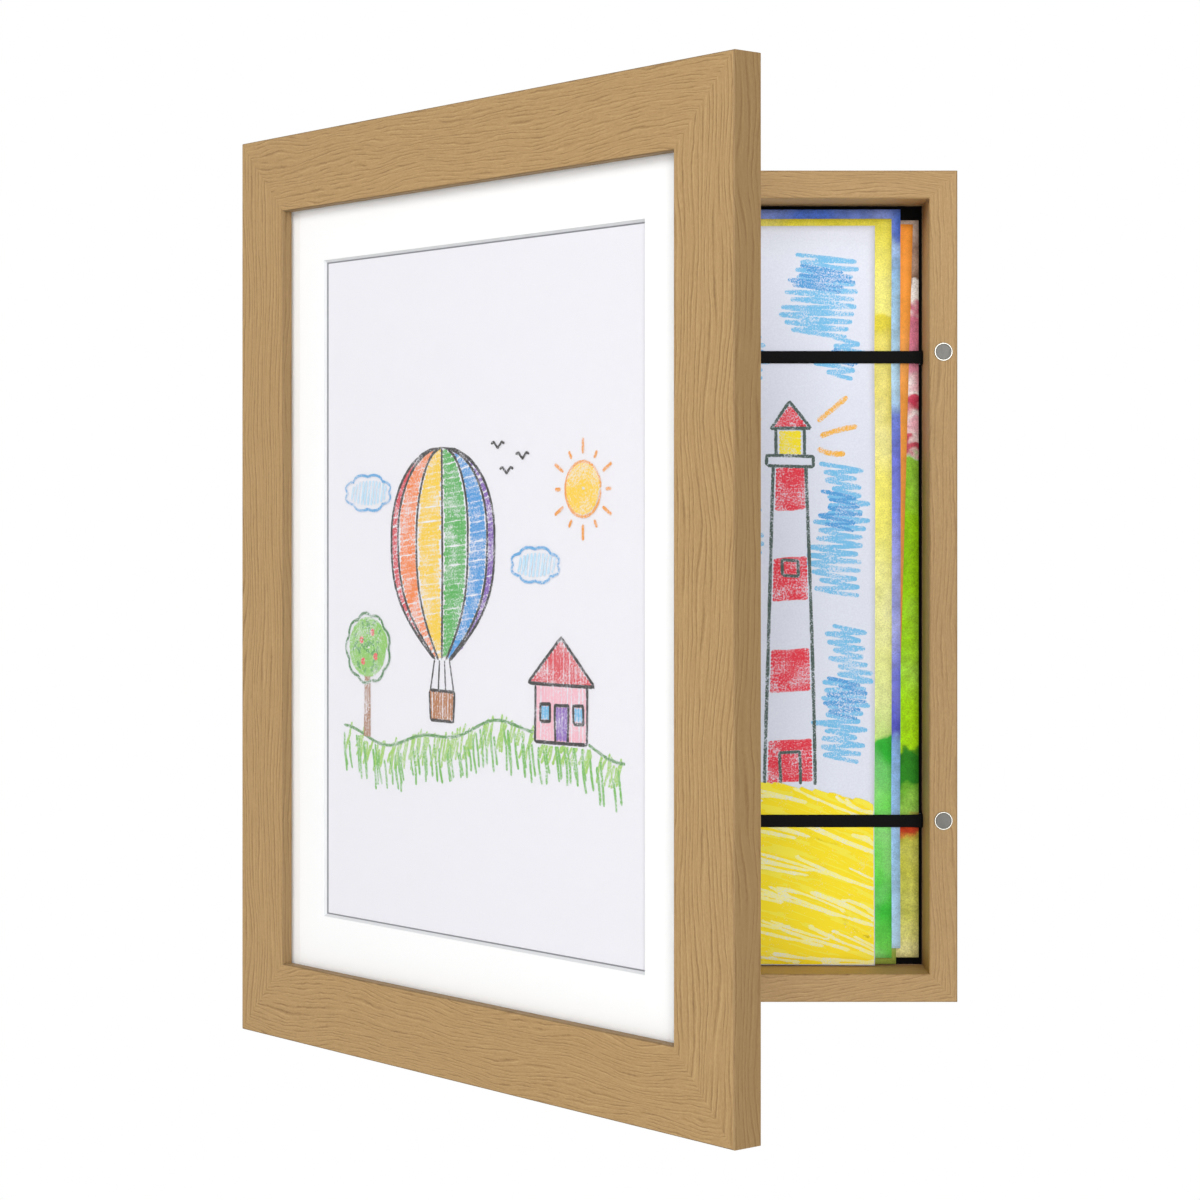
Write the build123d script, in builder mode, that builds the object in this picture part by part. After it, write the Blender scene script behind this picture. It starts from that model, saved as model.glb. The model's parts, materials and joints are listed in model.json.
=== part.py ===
from build123d import *
import os
from math import cos, radians, sin

# A front opening picture frame for a child's drawings. A mitred door frame holds the picture on show,
# behind clear acrylic and a mat. It is hinged on the left of a shallow box that hangs on the wall and
# stores more sheets behind two elastic straps. Two magnets hold the door shut.
# Lengths are in millimetres. X runs to the right, Y into the wall and Z up. The origin is the centre
# notch of the upright hanger, on the wall's surface. The door is drawn open, at rest_angle.

# Stored sheets, and the room round them in the well
sheet_width = 210.0
sheet_height = 297.0
sheet_thickness = 0.4
sheet_side_room = 16.5
sheet_head_room = 4.5

# Box: four mitred walls with a board let into a step at the back
wall_width = 11.0
well_depth = 25.0
back_board_thickness = 3.0
back_step_width = 4.0
back_board_clearance = 0.3
lining_thickness = 0.3
lining_clearance = 0.2
arris = 0.4

# Door: four mitred rails, stepped at the back for the glazing, mat, picture and backing
rail_width = 29.0
lip_thickness = 4.0
rebate_width = 6.0
pack_clearance = 0.5
glazing_thickness = 1.2
mat_thickness = 1.4
mat_border = 20.0
display_sheet_thickness = 0.3
display_side_margin = 14.0
display_head_margin = 2.0
backing_thickness = 2.5
pack_setback = 2.6
stile_beyond_hinge = 5.2
rest_angle = 50.0

# Butt hinges, each with two leaves, three knuckles and a pin
hinge_length = 30.0
hinge_inset = 60.0
pin_radius = 1.0
pin_clearance = 0.05
pin_head_radius = 1.6
pin_head_height = 0.8
pin_end_room = 0.5
knuckle_wall = 0.95
knuckle_gap = 0.2
knuckle_clearance = 0.4
leaf_thickness = 0.8
leaf_gap = 0.3
leaf_reach = 11.0
leaf_corner_radius = 1.2
mortise_depth = 0.45
mortise_clearance = 0.1

# Countersunk screws of the hinges and the strike plates
screw_head_radius = 1.6
screw_shank_radius = 0.8
screw_length = 8.0
screw_point = 1.6
screw_end_margin = 5.5
screw_slot_width = 0.4
screw_slot_depth = 0.3
seat_clearance = 0.05

# Magnets in steel cups in the box, and the steel discs that they hold
magnet_radius = 3.0
magnet_thickness = 3.0
magnet_recess = 0.1
magnet_height = 92.5
cup_wall = 0.6
cup_floor = 0.5
cup_chamfer = 0.15
magnet_air_gap = 0.3
strike_radius = 4.0
strike_thickness = 1.0

# Mitre nails, brads, flexible tabs and staples
v_nail_leg = 4.0
v_nail_gauge = 0.5
v_nail_depth = 8.0
brad_head_radius = 1.1
brad_head_height = 0.4
brad_shank_radius = 0.6
brad_length = 12.0
brad_point = 1.2
tab_width = 8.0
tab_reach = 6.5
tab_embed = 5.0
tab_point = 1.5
tab_gauge = 0.5
staple_gauge = 0.6
staple_depth = 5.0
staple_clearance = 0.2

# Elastic straps, threaded through the back board and stapled to the back of the box
strap_width = 5.0
strap_thickness = 0.8
strap_bend_radius = 0.6
strap_end_inset = 1.0
upper_strap_height = 91.7
lower_strap_height = -94.8
slot_clearance = 0.3

# Wall side: sawtooth hangers with their nails, and felt pads that keep the box upright on the wall
hanger_length = 45.0
hanger_height = 9.0
hanger_gauge = 0.8
hanger_lift = 1.0
hanger_foot = 8.0
hanger_slope = 1.5
hanger_inset = 0.8
hanger_nail_inset = 3.5
tooth_pitch = 3.2
tooth_depth = 1.8
tooth_count = 7
nail_head_radius = 1.4
nail_head_height = 0.5
nail_shank_radius = 0.65
nail_length = 12.0
nail_point = 1.3
pad_radius = 5.0
pad_thickness = 2.0
pad_side_inset = 24.0
pad_end_inset = 8.0

# How far each cut runs past the wood
overrun = 1.0

# Where the stored sheets lie: share of the spare room to the right of each and below each, front first
sheet_right_shares = (0.594, 0.388, 0.279, 0.330, 0.120, 0.048)
sheet_lift_shares = (0.044, 0.367, 0.789, 0.067, 0.155, 0.333)
sheet_tilts = (0.0, 0.0, 0.0, 0.0, -1.6, 0.0)

# Where fasteners stand along a side, as shares of its length from the middle
brad_shares = (-0.42, -0.14, 0.14, 0.42)
long_tab_shares = (-0.36, 0.0, 0.36)
short_tab_shares = (-0.27, 0.27)
door_v_nail_shares = (0.32, 0.68)

# Sizes that follow from the values above
inner_width = sheet_width + 2 * sheet_side_room
inner_height = sheet_height + 2 * sheet_head_room
box_width = inner_width + 2 * wall_width
box_height = inner_height + 2 * wall_width
box_depth = well_depth + back_board_thickness

bore_radius = pin_radius + pin_clearance
knuckle_radius = bore_radius + knuckle_wall
groove_radius = knuckle_radius + knuckle_clearance
hinge_offset = knuckle_radius + knuckle_clearance
knuckle_length = (hinge_length - 2 * knuckle_gap) / 3
knuckle_step = knuckle_length + knuckle_gap
leaf_root = (bore_radius + knuckle_radius) / 2
leaf_clear_radius = knuckle_radius + leaf_gap
leaf_outer_face = leaf_gap / 2 + leaf_thickness
leaf_screw_reach = (leaf_clear_radius + leaf_reach) / 2
leaf_screw_height = hinge_length / 2 - screw_end_margin
hinge_height = box_height / 2 - hinge_inset
door_gap = 2 * leaf_thickness + leaf_gap - 2 * mortise_depth

door_overhang = hinge_offset + groove_radius + stile_beyond_hinge
door_width = box_width + 2 * door_overhang
door_height = box_height + 2 * door_overhang
sight_width = door_width - 2 * rail_width
sight_height = door_height - 2 * rail_width
opening_width = sight_width + 2 * rebate_width
opening_height = sight_height + 2 * rebate_width
pack_width = opening_width - 2 * pack_clearance
pack_height = opening_height - 2 * pack_clearance
window_width = sight_width - 2 * mat_border
window_height = sight_height - 2 * mat_border

# Depths in the door, from its rear face towards the room
backing_back = pack_setback
display_back = backing_back + backing_thickness
mat_back = display_back + display_sheet_thickness
glazing_back = mat_back + mat_thickness
rebate_depth = glazing_back + glazing_thickness
door_thickness = rebate_depth + lip_thickness
tab_back = backing_back - tab_gauge

# Depths in the box, from its front face towards the wall
lining_front = well_depth - lining_thickness
stack_front = lining_front - len(sheet_tilts) * sheet_thickness
strap_front = stack_front - strap_thickness

magnet_proud = (door_gap - magnet_air_gap) / 2
cup_radius = magnet_radius + cup_wall
cup_height = magnet_thickness + magnet_recess + cup_floor
hanger_drop = hanger_inset + hanger_height - tooth_depth
centre_z = hanger_drop - box_height / 2
rear_y = -pad_thickness
front_y = rear_y - box_depth
axis_x = -box_width / 2 - hinge_offset
axis_y = front_y - door_gap / 2

# Working planes. On each one X runs along the frame, Y up and Z towards the room.
room = (0, -1, 0)
open_along = (cos(radians(rest_angle)), -sin(radians(rest_angle)), 0)
open_out = (-sin(radians(rest_angle)), -cos(radians(rest_angle)), 0)
box_rear = Plane(origin=(0, rear_y, centre_z), x_dir=(1, 0, 0), z_dir=room)
box_front = box_rear.offset(box_depth)
box_axis = Plane(origin=(axis_x, axis_y, centre_z), x_dir=(1, 0, 0), z_dir=room)
door_axis = Plane(origin=(axis_x, axis_y, centre_z), x_dir=open_along, z_dir=open_out)
door_centre = door_axis.from_local_coords(Vector(box_width / 2 + hinge_offset, 0, door_gap / 2))
door_rear = Plane(origin=door_centre, x_dir=open_along, z_dir=open_out)
upright_hanger_plane = Plane(origin=(0, rear_y, 0), x_dir=(1, 0, 0), z_dir=room)
sideways_hanger_plane = Plane(
    origin=(hanger_drop - box_width / 2, rear_y, centre_z), x_dir=(0, 0, 1), z_dir=room
)

outward = {"top": (0, 1), "bottom": (0, -1), "left": (-1, 0), "right": (1, 0)}
pieces = {}


def section_plane(face, side, width, height):
    """Plane across one member of a frame: X inwards from its outer edge, Y towards the room."""
    across, up = outward[side]
    inwards = face.x_dir * -across + face.y_dir * -up
    edge = face.from_local_coords(Vector(across * width / 2, up * height / 2, 0))
    return Plane(origin=edge, x_dir=inwards, z_dir=inwards.cross(face.z_dir))


def mitre_planes(face, side, width, height):
    """The two 45 degree cuts of one member, each through an outer corner and facing off it."""
    across, up = outward[side]
    planes = []
    for turn in (-1, 1):
        along = (turn * up, turn * across)
        corner = Vector((across + along[0]) * width / 2, (up + along[1]) * height / 2, 0)
        away = face.x_dir * (along[0] - across) + face.y_dir * (along[1] - up)
        planes.append(Plane(origin=face.from_local_coords(corner), z_dir=away))
    return planes


def mitred_member(face, side, size, section, cutters):
    """One side of a mitred frame, from its stepped section, less the seats of its fittings."""
    width, height = size
    with BuildPart() as member:
        with BuildSketch(section_plane(face, side, width, height)):
            with BuildLine():
                Polyline(*section, close=True)
            make_face()
            chamfer(vertices().group_by(Axis.Y)[-1], arris)
            chamfer(vertices().sort_by_distance((0, 0))[0], arris)
        extrude(amount=max(width, height) / 2, both=True)
        for mitre in mitre_planes(face, side, width, height):
            split(bisect_by=mitre, keep=Keep.BOTTOM)
        for cutter in cutters:
            add(cutter, mode=Mode.SUBTRACT)
    return member.part


brad_sizes = (brad_head_radius, brad_head_height, brad_shank_radius, brad_length, brad_point)
nail_sizes = (nail_head_radius, nail_head_height, nail_shank_radius, nail_length, nail_point)


def driven_pin(sizes, clearance=0.0):
    """A nail or brad along -Z with the outside of its head at height 0. Clearance makes its seat."""
    head_radius, head_height, shank_radius, length, point = sizes
    with BuildPart() as pin:
        with BuildSketch(Plane.XZ):
            with BuildLine():
                Polyline(
                    (0, 0),
                    (head_radius + clearance, 0),
                    (head_radius + clearance, -head_height - clearance),
                    (shank_radius + clearance, -head_height - clearance),
                    (shank_radius + clearance, point - length),
                    (0, -length - clearance),
                    close=True,
                )
            make_face()
        revolve(axis=Axis.Z)
    return pin.part


def countersunk_screw(clearance=0.0):
    """A countersunk screw along -Z with its head's face at height 0. Clearance makes its seat."""
    head_height = screw_head_radius - screw_shank_radius
    with BuildPart() as screw:
        with BuildSketch(Plane.XZ):
            with BuildLine():
                Polyline(
                    (0, 0),
                    (screw_head_radius + clearance, 0),
                    (screw_shank_radius + clearance, -head_height),
                    (screw_shank_radius + clearance, screw_point - screw_length),
                    (0, -screw_length - clearance),
                    close=True,
                )
            make_face()
        revolve(axis=Axis.Z)
        if clearance == 0:
            with BuildSketch():
                Rectangle(2 * screw_shank_radius, screw_slot_width)
                Rectangle(screw_slot_width, 2 * screw_shank_radius)
            extrude(amount=-screw_slot_depth, mode=Mode.SUBTRACT)
    return screw.part


def v_nail():
    """Two legs of folded strip at a right angle, standing on Z from height 0."""
    with BuildPart() as nail:
        with BuildSketch():
            with BuildLine():
                Polyline(
                    (0, 0),
                    (v_nail_leg, 0),
                    (v_nail_leg, v_nail_gauge),
                    (v_nail_gauge, v_nail_gauge),
                    (v_nail_gauge, v_nail_leg),
                    (0, v_nail_leg),
                    close=True,
                )
            make_face()
        extrude(amount=v_nail_depth)
    return nail.part


def corner_spots(width, height, inset):
    """Places and turns of a V nail at the four corners, its legs running along both members."""
    spots = []
    for across, up, turn in ((-1, -1, 0), (1, -1, 90), (1, 1, 180), (-1, 1, 270)):
        place = (across * (width / 2 - inset), up * (height / 2 - inset), 0)
        spots.append(Location(place, (0, 0, turn)))
    return spots


def hinge_leaf(hand):
    """A leaf about the Y axis. Hand is 1 for the door's leaf and -1 for the box's, with two knuckles."""
    own_knuckles = (0,) if hand > 0 else (-knuckle_step, knuckle_step)
    other_knuckles = (-knuckle_step, knuckle_step) if hand > 0 else (0,)
    with BuildPart() as leaf:
        with BuildSketch(Plane.XY.offset(hand * leaf_gap / 2)):
            with Locations(((leaf_root + leaf_reach) / 2, 0)):
                Rectangle(leaf_reach - leaf_root, hinge_length)
            fillet(vertices().group_by(Axis.X)[-1], leaf_corner_radius)
        extrude(amount=hand * leaf_thickness)
        with Locations(*[(0, height, 0) for height in other_knuckles]):
            clear_length = knuckle_length + 2 * knuckle_gap
            Cylinder(leaf_clear_radius, clear_length, rotation=(90, 0, 0), mode=Mode.SUBTRACT)
        with Locations(*[(0, height, 0) for height in own_knuckles]):
            Cylinder(knuckle_radius, knuckle_length, rotation=(90, 0, 0))
        Cylinder(bore_radius, hinge_length + overrun, rotation=(90, 0, 0), mode=Mode.SUBTRACT)
        with Locations(*leaf_screw_spots(hand)):
            add(countersunk_screw(seat_clearance), mode=Mode.SUBTRACT)
    return leaf.part


def leaf_screw_spots(hand):
    """Places of a leaf's two screws, heads to the gap between the leaves."""
    return [
        Location((leaf_screw_reach, end * leaf_screw_height, hand * leaf_gap / 2), (90 * (1 + hand), 0, 0))
        for end in (-1, 1)
    ]


def hinge_seat(hand):
    """Shallow mortise for a leaf, and in the door the round groove that clears the knuckles."""
    depth = leaf_outer_face
    with BuildPart() as seat:
        with BuildSketch():
            with Locations(((leaf_reach + mortise_clearance) / 2, 0)):
                Rectangle(leaf_reach + mortise_clearance, hinge_length + 2 * mortise_clearance)
        extrude(amount=hand * depth)
        if hand > 0:
            groove_length = hinge_length + 2 * (pin_head_height + pin_end_room)
            Cylinder(groove_radius, groove_length, rotation=(90, 0, 0))
    return seat.part


def sawtooth_hanger():
    """A bent strip with a toothed lower edge. Its centre notch is at the origin, its feet at Z = 0."""
    foot_end = hanger_length / 2 - hanger_foot
    bridge_end = foot_end - hanger_slope
    strip = [
        (hanger_length / 2, 0),
        (foot_end, 0),
        (bridge_end, -hanger_lift),
        (-bridge_end, -hanger_lift),
        (-foot_end, 0),
        (-hanger_length / 2, 0),
        (-hanger_length / 2, -hanger_gauge),
        (-foot_end, -hanger_gauge),
        (-bridge_end, -hanger_lift - hanger_gauge),
        (bridge_end, -hanger_lift - hanger_gauge),
        (foot_end, -hanger_gauge),
        (hanger_length / 2, -hanger_gauge),
    ]
    with BuildPart() as hanger:
        with BuildSketch(Plane.XZ.offset(tooth_depth)):
            with BuildLine():
                Polyline(*strip, close=True)
            make_face()
        extrude(amount=-hanger_height)
        with BuildSketch():
            for number in range(tooth_count):
                middle = (number - (tooth_count - 1) / 2) * tooth_pitch
                with BuildLine():
                    Polyline(
                        (middle - tooth_pitch / 2, -tooth_depth),
                        (middle, 0),
                        (middle + tooth_pitch / 2, -tooth_depth),
                        close=True,
                    )
                make_face()
        extrude(amount=-hanger_lift - hanger_gauge - overrun, mode=Mode.SUBTRACT)
        with Locations(*hanger_nail_spots):
            Cylinder(nail_shank_radius + seat_clearance, 2 * (hanger_gauge + overrun), mode=Mode.SUBTRACT)
    return hanger.part


# Places of the fittings, on the plane that carries them
nail_rise = hanger_drop - hanger_nail_inset
hanger_nail_spots = [(end * (hanger_length / 2 - hanger_foot / 2), nail_rise, 0) for end in (-1, 1)]
magnet_x = box_width / 2 - wall_width / 2
magnet_spots = [(magnet_x, end * magnet_height) for end in (-1, 1)]
brad_x = inner_width / 2 + back_step_width / 2
brad_y = inner_height / 2 + back_step_width / 2
brad_spots = [(share * inner_width, end * brad_y) for share in brad_shares for end in (-1, 1)]
brad_spots += [(end * brad_x, share * inner_height) for share in brad_shares for end in (-1, 1)]
strap_heights = {"upper_strap": upper_strap_height, "lower_strap": lower_strap_height}
hinge_heights = {"upper": hinge_height, "lower": -hinge_height}

# Mitre nails at the corners of the box and, two to a corner, of the door
with BuildPart(box_rear) as box_v_nails:
    with Locations(*corner_spots(box_width, box_height, (wall_width - back_step_width) / 2)):
        add(v_nail())
pieces["box_v_nails"] = box_v_nails.part

with BuildPart(door_rear) as door_v_nails:
    for share in door_v_nail_shares:
        with Locations(*corner_spots(door_width, door_height, share * (rail_width - rebate_width))):
            add(v_nail())
pieces["door_v_nails"] = door_v_nails.part

# Back board, its lining and its brads
with BuildPart(box_rear) as back_board_brads:
    with Locations(*[Location((x, y, 0), (180, 0, 0)) for x, y in brad_spots]):
        add(driven_pin(brad_sizes))
pieces["back_board_brads"] = back_board_brads.part

with BuildPart(box_rear) as brad_seats:
    with Locations(*[Location((x, y, 0), (180, 0, 0)) for x, y in brad_spots]):
        add(driven_pin(brad_sizes, seat_clearance))

slot_width = strap_thickness + 2 * slot_clearance
slot_height = strap_width + 2 * slot_clearance
slot_x = inner_width / 2 - strap_thickness / 2
slot_spots = [(end * slot_x, height) for height in strap_heights.values() for end in (-1, 1)]

with BuildPart() as back_board:
    with BuildSketch(box_rear):
        board_width = inner_width + 2 * (back_step_width - back_board_clearance)
        board_height = inner_height + 2 * (back_step_width - back_board_clearance)
        Rectangle(board_width, board_height)
        with Locations(*slot_spots):
            Rectangle(slot_width, slot_height, mode=Mode.SUBTRACT)
    extrude(amount=back_board_thickness)
    add(brad_seats.part, mode=Mode.SUBTRACT)
pieces["back_board"] = back_board.part

with BuildPart() as back_lining:
    with BuildSketch(box_rear.offset(back_board_thickness)):
        Rectangle(inner_width - 2 * lining_clearance, inner_height - 2 * lining_clearance)
        with Locations(*slot_spots):
            Rectangle(slot_width, slot_height, mode=Mode.SUBTRACT)
    extrude(amount=lining_thickness)
pieces["back_lining"] = back_lining.part

# Elastic straps: across the well, back along the side walls, out through the board and over the rim
for name, height in strap_heights.items():
    with BuildPart() as strap:
        with BuildSketch(Plane.XY.offset(centre_z + height - strap_width / 2)):
            with BuildLine():
                wall_run = inner_width / 2 - strap_thickness / 2
                rim_run = rear_y + strap_thickness / 2
                front_run = front_y + strap_front + strap_thickness / 2
                FilletPolyline(
                    (strap_end_inset - box_width / 2, rim_run),
                    (-wall_run, rim_run),
                    (-wall_run, front_run),
                    (wall_run, front_run),
                    (wall_run, rim_run),
                    (box_width / 2 - strap_end_inset, rim_run),
                    radius=strap_bend_radius,
                )
            trace(line_width=strap_thickness)
        extrude(amount=strap_width)
    pieces[name] = strap.part

staple_inner = strap_width / 2 + staple_clearance
staple_outer = staple_inner + staple_gauge
staple_crown = -strap_thickness - staple_gauge
staple_x = box_width / 2 - (wall_width - back_step_width) / 2
with BuildPart() as strap_staples:
    for end in (-1, 1):
        middle = box_rear.from_local_coords(Vector(end * staple_x - staple_gauge / 2, 0, 0))
        with BuildSketch(Plane(origin=middle, x_dir=(0, 0, 1), z_dir=(1, 0, 0))):
            for height in strap_heights.values():
                with BuildLine():
                    Polyline(
                        (height - staple_outer, staple_crown),
                        (height + staple_outer, staple_crown),
                        (height + staple_outer, staple_depth),
                        (height + staple_inner, staple_depth),
                        (height + staple_inner, -strap_thickness),
                        (height - staple_inner, -strap_thickness),
                        (height - staple_inner, staple_depth),
                        (height - staple_outer, staple_depth),
                        close=True,
                    )
                make_face()
        extrude(amount=staple_gauge)
pieces["strap_staples"] = strap_staples.part

# Stored sheets, front one first, stacked on the lining
for number, right_share in enumerate(sheet_right_shares):
    tilt = radians(abs(sheet_tilts[number]))
    half_width = (sheet_width * cos(tilt) + sheet_height * sin(tilt)) / 2
    half_height = (sheet_height * cos(tilt) + sheet_width * sin(tilt)) / 2
    sheet_x = inner_width / 2 - right_share * 2 * sheet_side_room - half_width
    sheet_y = sheet_lift_shares[number] * 2 * sheet_head_room + half_height - inner_height / 2
    with BuildPart() as stored_sheet:
        with BuildSketch(box_front.offset(-stack_front - (number + 1) * sheet_thickness)):
            with Locations(Location((sheet_x, sheet_y, 0), (0, 0, sheet_tilts[number]))):
                Rectangle(sheet_width, sheet_height)
        extrude(amount=sheet_thickness)
    pieces[f"stored_sheet_{number + 1}"] = stored_sheet.part

# Magnets in their steel cups, in the right wall of the box
with BuildPart() as magnet_cups:
    with BuildSketch(box_front.offset(magnet_proud - cup_height)):
        with Locations(*magnet_spots):
            Circle(cup_radius)
    extrude(amount=cup_height)
    with BuildSketch(box_front.offset(magnet_proud - magnet_recess - magnet_thickness)):
        with Locations(*magnet_spots):
            Circle(magnet_radius + seat_clearance)
    extrude(amount=magnet_thickness + overrun, mode=Mode.SUBTRACT)
    chamfer(edges().group_by(Axis.Y)[0], cup_chamfer)
pieces["magnet_cups"] = magnet_cups.part

with BuildPart() as magnets:
    with BuildSketch(box_front.offset(magnet_proud - magnet_recess - magnet_thickness)):
        with Locations(*magnet_spots):
            Circle(magnet_radius)
    extrude(amount=magnet_thickness)
pieces["magnets"] = magnets.part

with BuildPart() as cup_seats:
    with BuildSketch(box_front.offset(magnet_proud - cup_height)):
        with Locations(*magnet_spots):
            Circle(cup_radius + seat_clearance)
    extrude(amount=cup_height + overrun)

# Hinges: a leaf on the box, a leaf on the door and a headed pin for each
pin_half_length = hinge_length / 2 + pin_head_height
pin_head_middle = hinge_length / 2 + pin_head_height / 2
for name, height in hinge_heights.items():
    with BuildPart(box_axis) as box_leaf:
        with Locations((0, height, 0)):
            add(hinge_leaf(-1))
    pieces[f"{name}_hinge_box_leaf"] = box_leaf.part

    with BuildPart(door_axis) as door_leaf:
        with Locations((0, height, 0)):
            add(hinge_leaf(1))
    pieces[f"{name}_hinge_door_leaf"] = door_leaf.part

    with BuildPart(box_axis) as hinge_pin:
        with Locations((0, height, 0)):
            Cylinder(pin_radius, 2 * pin_half_length, rotation=(90, 0, 0))
        with Locations(*[(0, height + end * pin_head_middle, 0) for end in (-1, 1)]):
            Cylinder(pin_head_radius, pin_head_height, rotation=(90, 0, 0))
    pieces[f"{name}_hinge_pin"] = hinge_pin.part

with BuildPart(box_axis) as hinge_screws_box:
    for height in hinge_heights.values():
        with Locations((0, height, 0)):
            with Locations(*leaf_screw_spots(-1)):
                add(countersunk_screw())
pieces["hinge_screws_box"] = hinge_screws_box.part

with BuildPart(door_axis) as hinge_screws_door:
    for height in hinge_heights.values():
        with Locations((0, height, 0)):
            with Locations(*leaf_screw_spots(1)):
                add(countersunk_screw())
pieces["hinge_screws_door"] = hinge_screws_door.part

with BuildPart(box_axis) as box_hinge_seats:
    for height in hinge_heights.values():
        with Locations((0, height, 0)):
            add(hinge_seat(-1))
            with Locations(*leaf_screw_spots(-1)):
                add(countersunk_screw(seat_clearance))

with BuildPart(door_axis) as door_hinge_seats:
    for height in hinge_heights.values():
        with Locations((0, height, 0)):
            add(hinge_seat(1))
            with Locations(*leaf_screw_spots(1)):
                add(countersunk_screw(seat_clearance))

# Hangers and their nails, one at the top and one on the hinge side, and the felt pads
hanger_planes = {"portrait_hanger": upright_hanger_plane, "landscape_hanger": sideways_hanger_plane}
for name, plane in hanger_planes.items():
    with BuildPart(plane) as hanger:
        add(sawtooth_hanger())
    pieces[name] = hanger.part

hanger_nail_places = [
    Location(plane) * Location((x, y, -hanger_gauge - nail_head_height), (180, 0, 0))
    for plane in hanger_planes.values()
    for x, y, z in hanger_nail_spots
]
with BuildPart() as hanger_nails:
    with Locations(*hanger_nail_places):
        add(driven_pin(nail_sizes))
pieces["hanger_nails"] = hanger_nails.part

with BuildPart() as nail_seats:
    with Locations(*hanger_nail_places):
        add(driven_pin(nail_sizes, seat_clearance))

with BuildPart() as wall_pads:
    with BuildSketch(box_rear):
        with GridLocations(box_width - 2 * pad_side_inset, box_height - 2 * pad_end_inset, 2, 2):
            Circle(pad_radius)
    extrude(amount=-pad_thickness)
pieces["wall_pads"] = wall_pads.part

# Box walls, stepped at the back for the board
wall_section = [
    (0, 0),
    (wall_width - back_step_width, 0),
    (wall_width - back_step_width, back_board_thickness),
    (wall_width, back_board_thickness),
    (wall_width, box_depth),
    (0, box_depth),
]
box_cutters = [
    box_v_nails.part,
    brad_seats.part,
    strap_staples.part,
    cup_seats.part,
    box_hinge_seats.part,
    nail_seats.part,
]
for side in outward:
    wall = mitred_member(box_rear, side, (box_width, box_height), wall_section, box_cutters)
    pieces[f"box_{side}_wall"] = wall

# What the door holds: acrylic, mat, the picture on show and a hardboard back
with BuildPart() as glazing:
    with BuildSketch(door_rear.offset(glazing_back)):
        Rectangle(pack_width, pack_height)
    extrude(amount=glazing_thickness)
pieces["glazing"] = glazing.part

with BuildPart() as mat_board:
    with BuildSketch(door_rear.offset(mat_back)):
        Rectangle(pack_width, pack_height)
    extrude(amount=mat_thickness)
    with BuildSketch(door_rear.offset(mat_back)):
        Rectangle(window_width - 2 * mat_thickness, window_height - 2 * mat_thickness)
    extrude(amount=mat_thickness, taper=-45, mode=Mode.SUBTRACT)
pieces["mat_board"] = mat_board.part

with BuildPart() as display_sheet:
    with BuildSketch(door_rear.offset(display_back)):
        Rectangle(pack_width - 2 * display_side_margin, pack_height - 2 * display_head_margin)
    extrude(amount=display_sheet_thickness)
pieces["display_sheet"] = display_sheet.part

with BuildPart() as door_backing:
    with BuildSketch(door_rear.offset(backing_back)):
        Rectangle(pack_width, pack_height)
    extrude(amount=backing_thickness)
pieces["door_backing"] = door_backing.part

# Flexible steel tabs, driven into the rails and bent over the backing
tab_spots = [
    Location((end * opening_width / 2, share * opening_height, 0), (0, 0, 90 * (1 + end)))
    for share in long_tab_shares
    for end in (-1, 1)
]
tab_spots += [
    Location((share * opening_width, end * opening_height / 2, 0), (0, 0, -90 * end))
    for share in short_tab_shares
    for end in (-1, 1)
]
with BuildPart() as flex_tabs:
    with BuildSketch(door_rear.offset(tab_back)):
        with Locations(*tab_spots):
            Polygon(
                (-tab_embed, 0),
                (tab_point - tab_embed, tab_width / 2),
                (tab_reach, tab_width / 2),
                (tab_reach, -tab_width / 2),
                (tab_point - tab_embed, -tab_width / 2),
                align=None,
            )
    extrude(amount=tab_gauge)
pieces["flex_tabs"] = flex_tabs.part

# Steel discs that the magnets hold, each with a screw
with BuildPart() as strike_seats:
    with BuildSketch(door_rear.offset(-overrun)):
        with Locations(*magnet_spots):
            Circle(strike_radius + seat_clearance)
    extrude(amount=overrun + strike_thickness - magnet_proud)

strike_screw_spots = [Location((x, y, -magnet_proud), (180, 0, 0)) for x, y in magnet_spots]
with BuildPart(door_rear) as strike_screws:
    with Locations(*strike_screw_spots):
        add(countersunk_screw())
pieces["strike_screws"] = strike_screws.part

with BuildPart(door_rear) as strike_screw_seats:
    with Locations(*strike_screw_spots):
        add(countersunk_screw(seat_clearance))

with BuildPart() as strike_plates:
    with BuildSketch(door_rear.offset(-magnet_proud)):
        with Locations(*magnet_spots):
            Circle(strike_radius)
    extrude(amount=strike_thickness)
    add(strike_screw_seats.part, mode=Mode.SUBTRACT)
pieces["strike_plates"] = strike_plates.part

# Door rails and stiles
rail_section = [
    (0, 0),
    (rail_width - rebate_width, 0),
    (rail_width - rebate_width, rebate_depth),
    (rail_width, rebate_depth),
    (rail_width, door_thickness),
    (0, door_thickness),
]
door_cutters = [
    door_v_nails.part,
    flex_tabs.part,
    door_hinge_seats.part,
    strike_seats.part,
    strike_screw_seats.part,
]
rail_names = {"top": "top_rail", "bottom": "bottom_rail", "left": "hinge_stile", "right": "magnet_stile"}
for side in outward:
    rail = mitred_member(door_rear, side, (door_width, door_height), rail_section, door_cutters)
    pieces[f"door_{rail_names[side]}"] = rail

os.makedirs("parts", exist_ok=True)
for name, piece in pieces.items():
    piece.label = name
    export_step(piece, f"parts/{name}.step")

print("Door", door_width, "by", door_height, "by", door_thickness)
print("Box", box_width, "by", box_height, "by", box_depth)
print("Gap between door and box", round(door_gap, 3))
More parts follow.
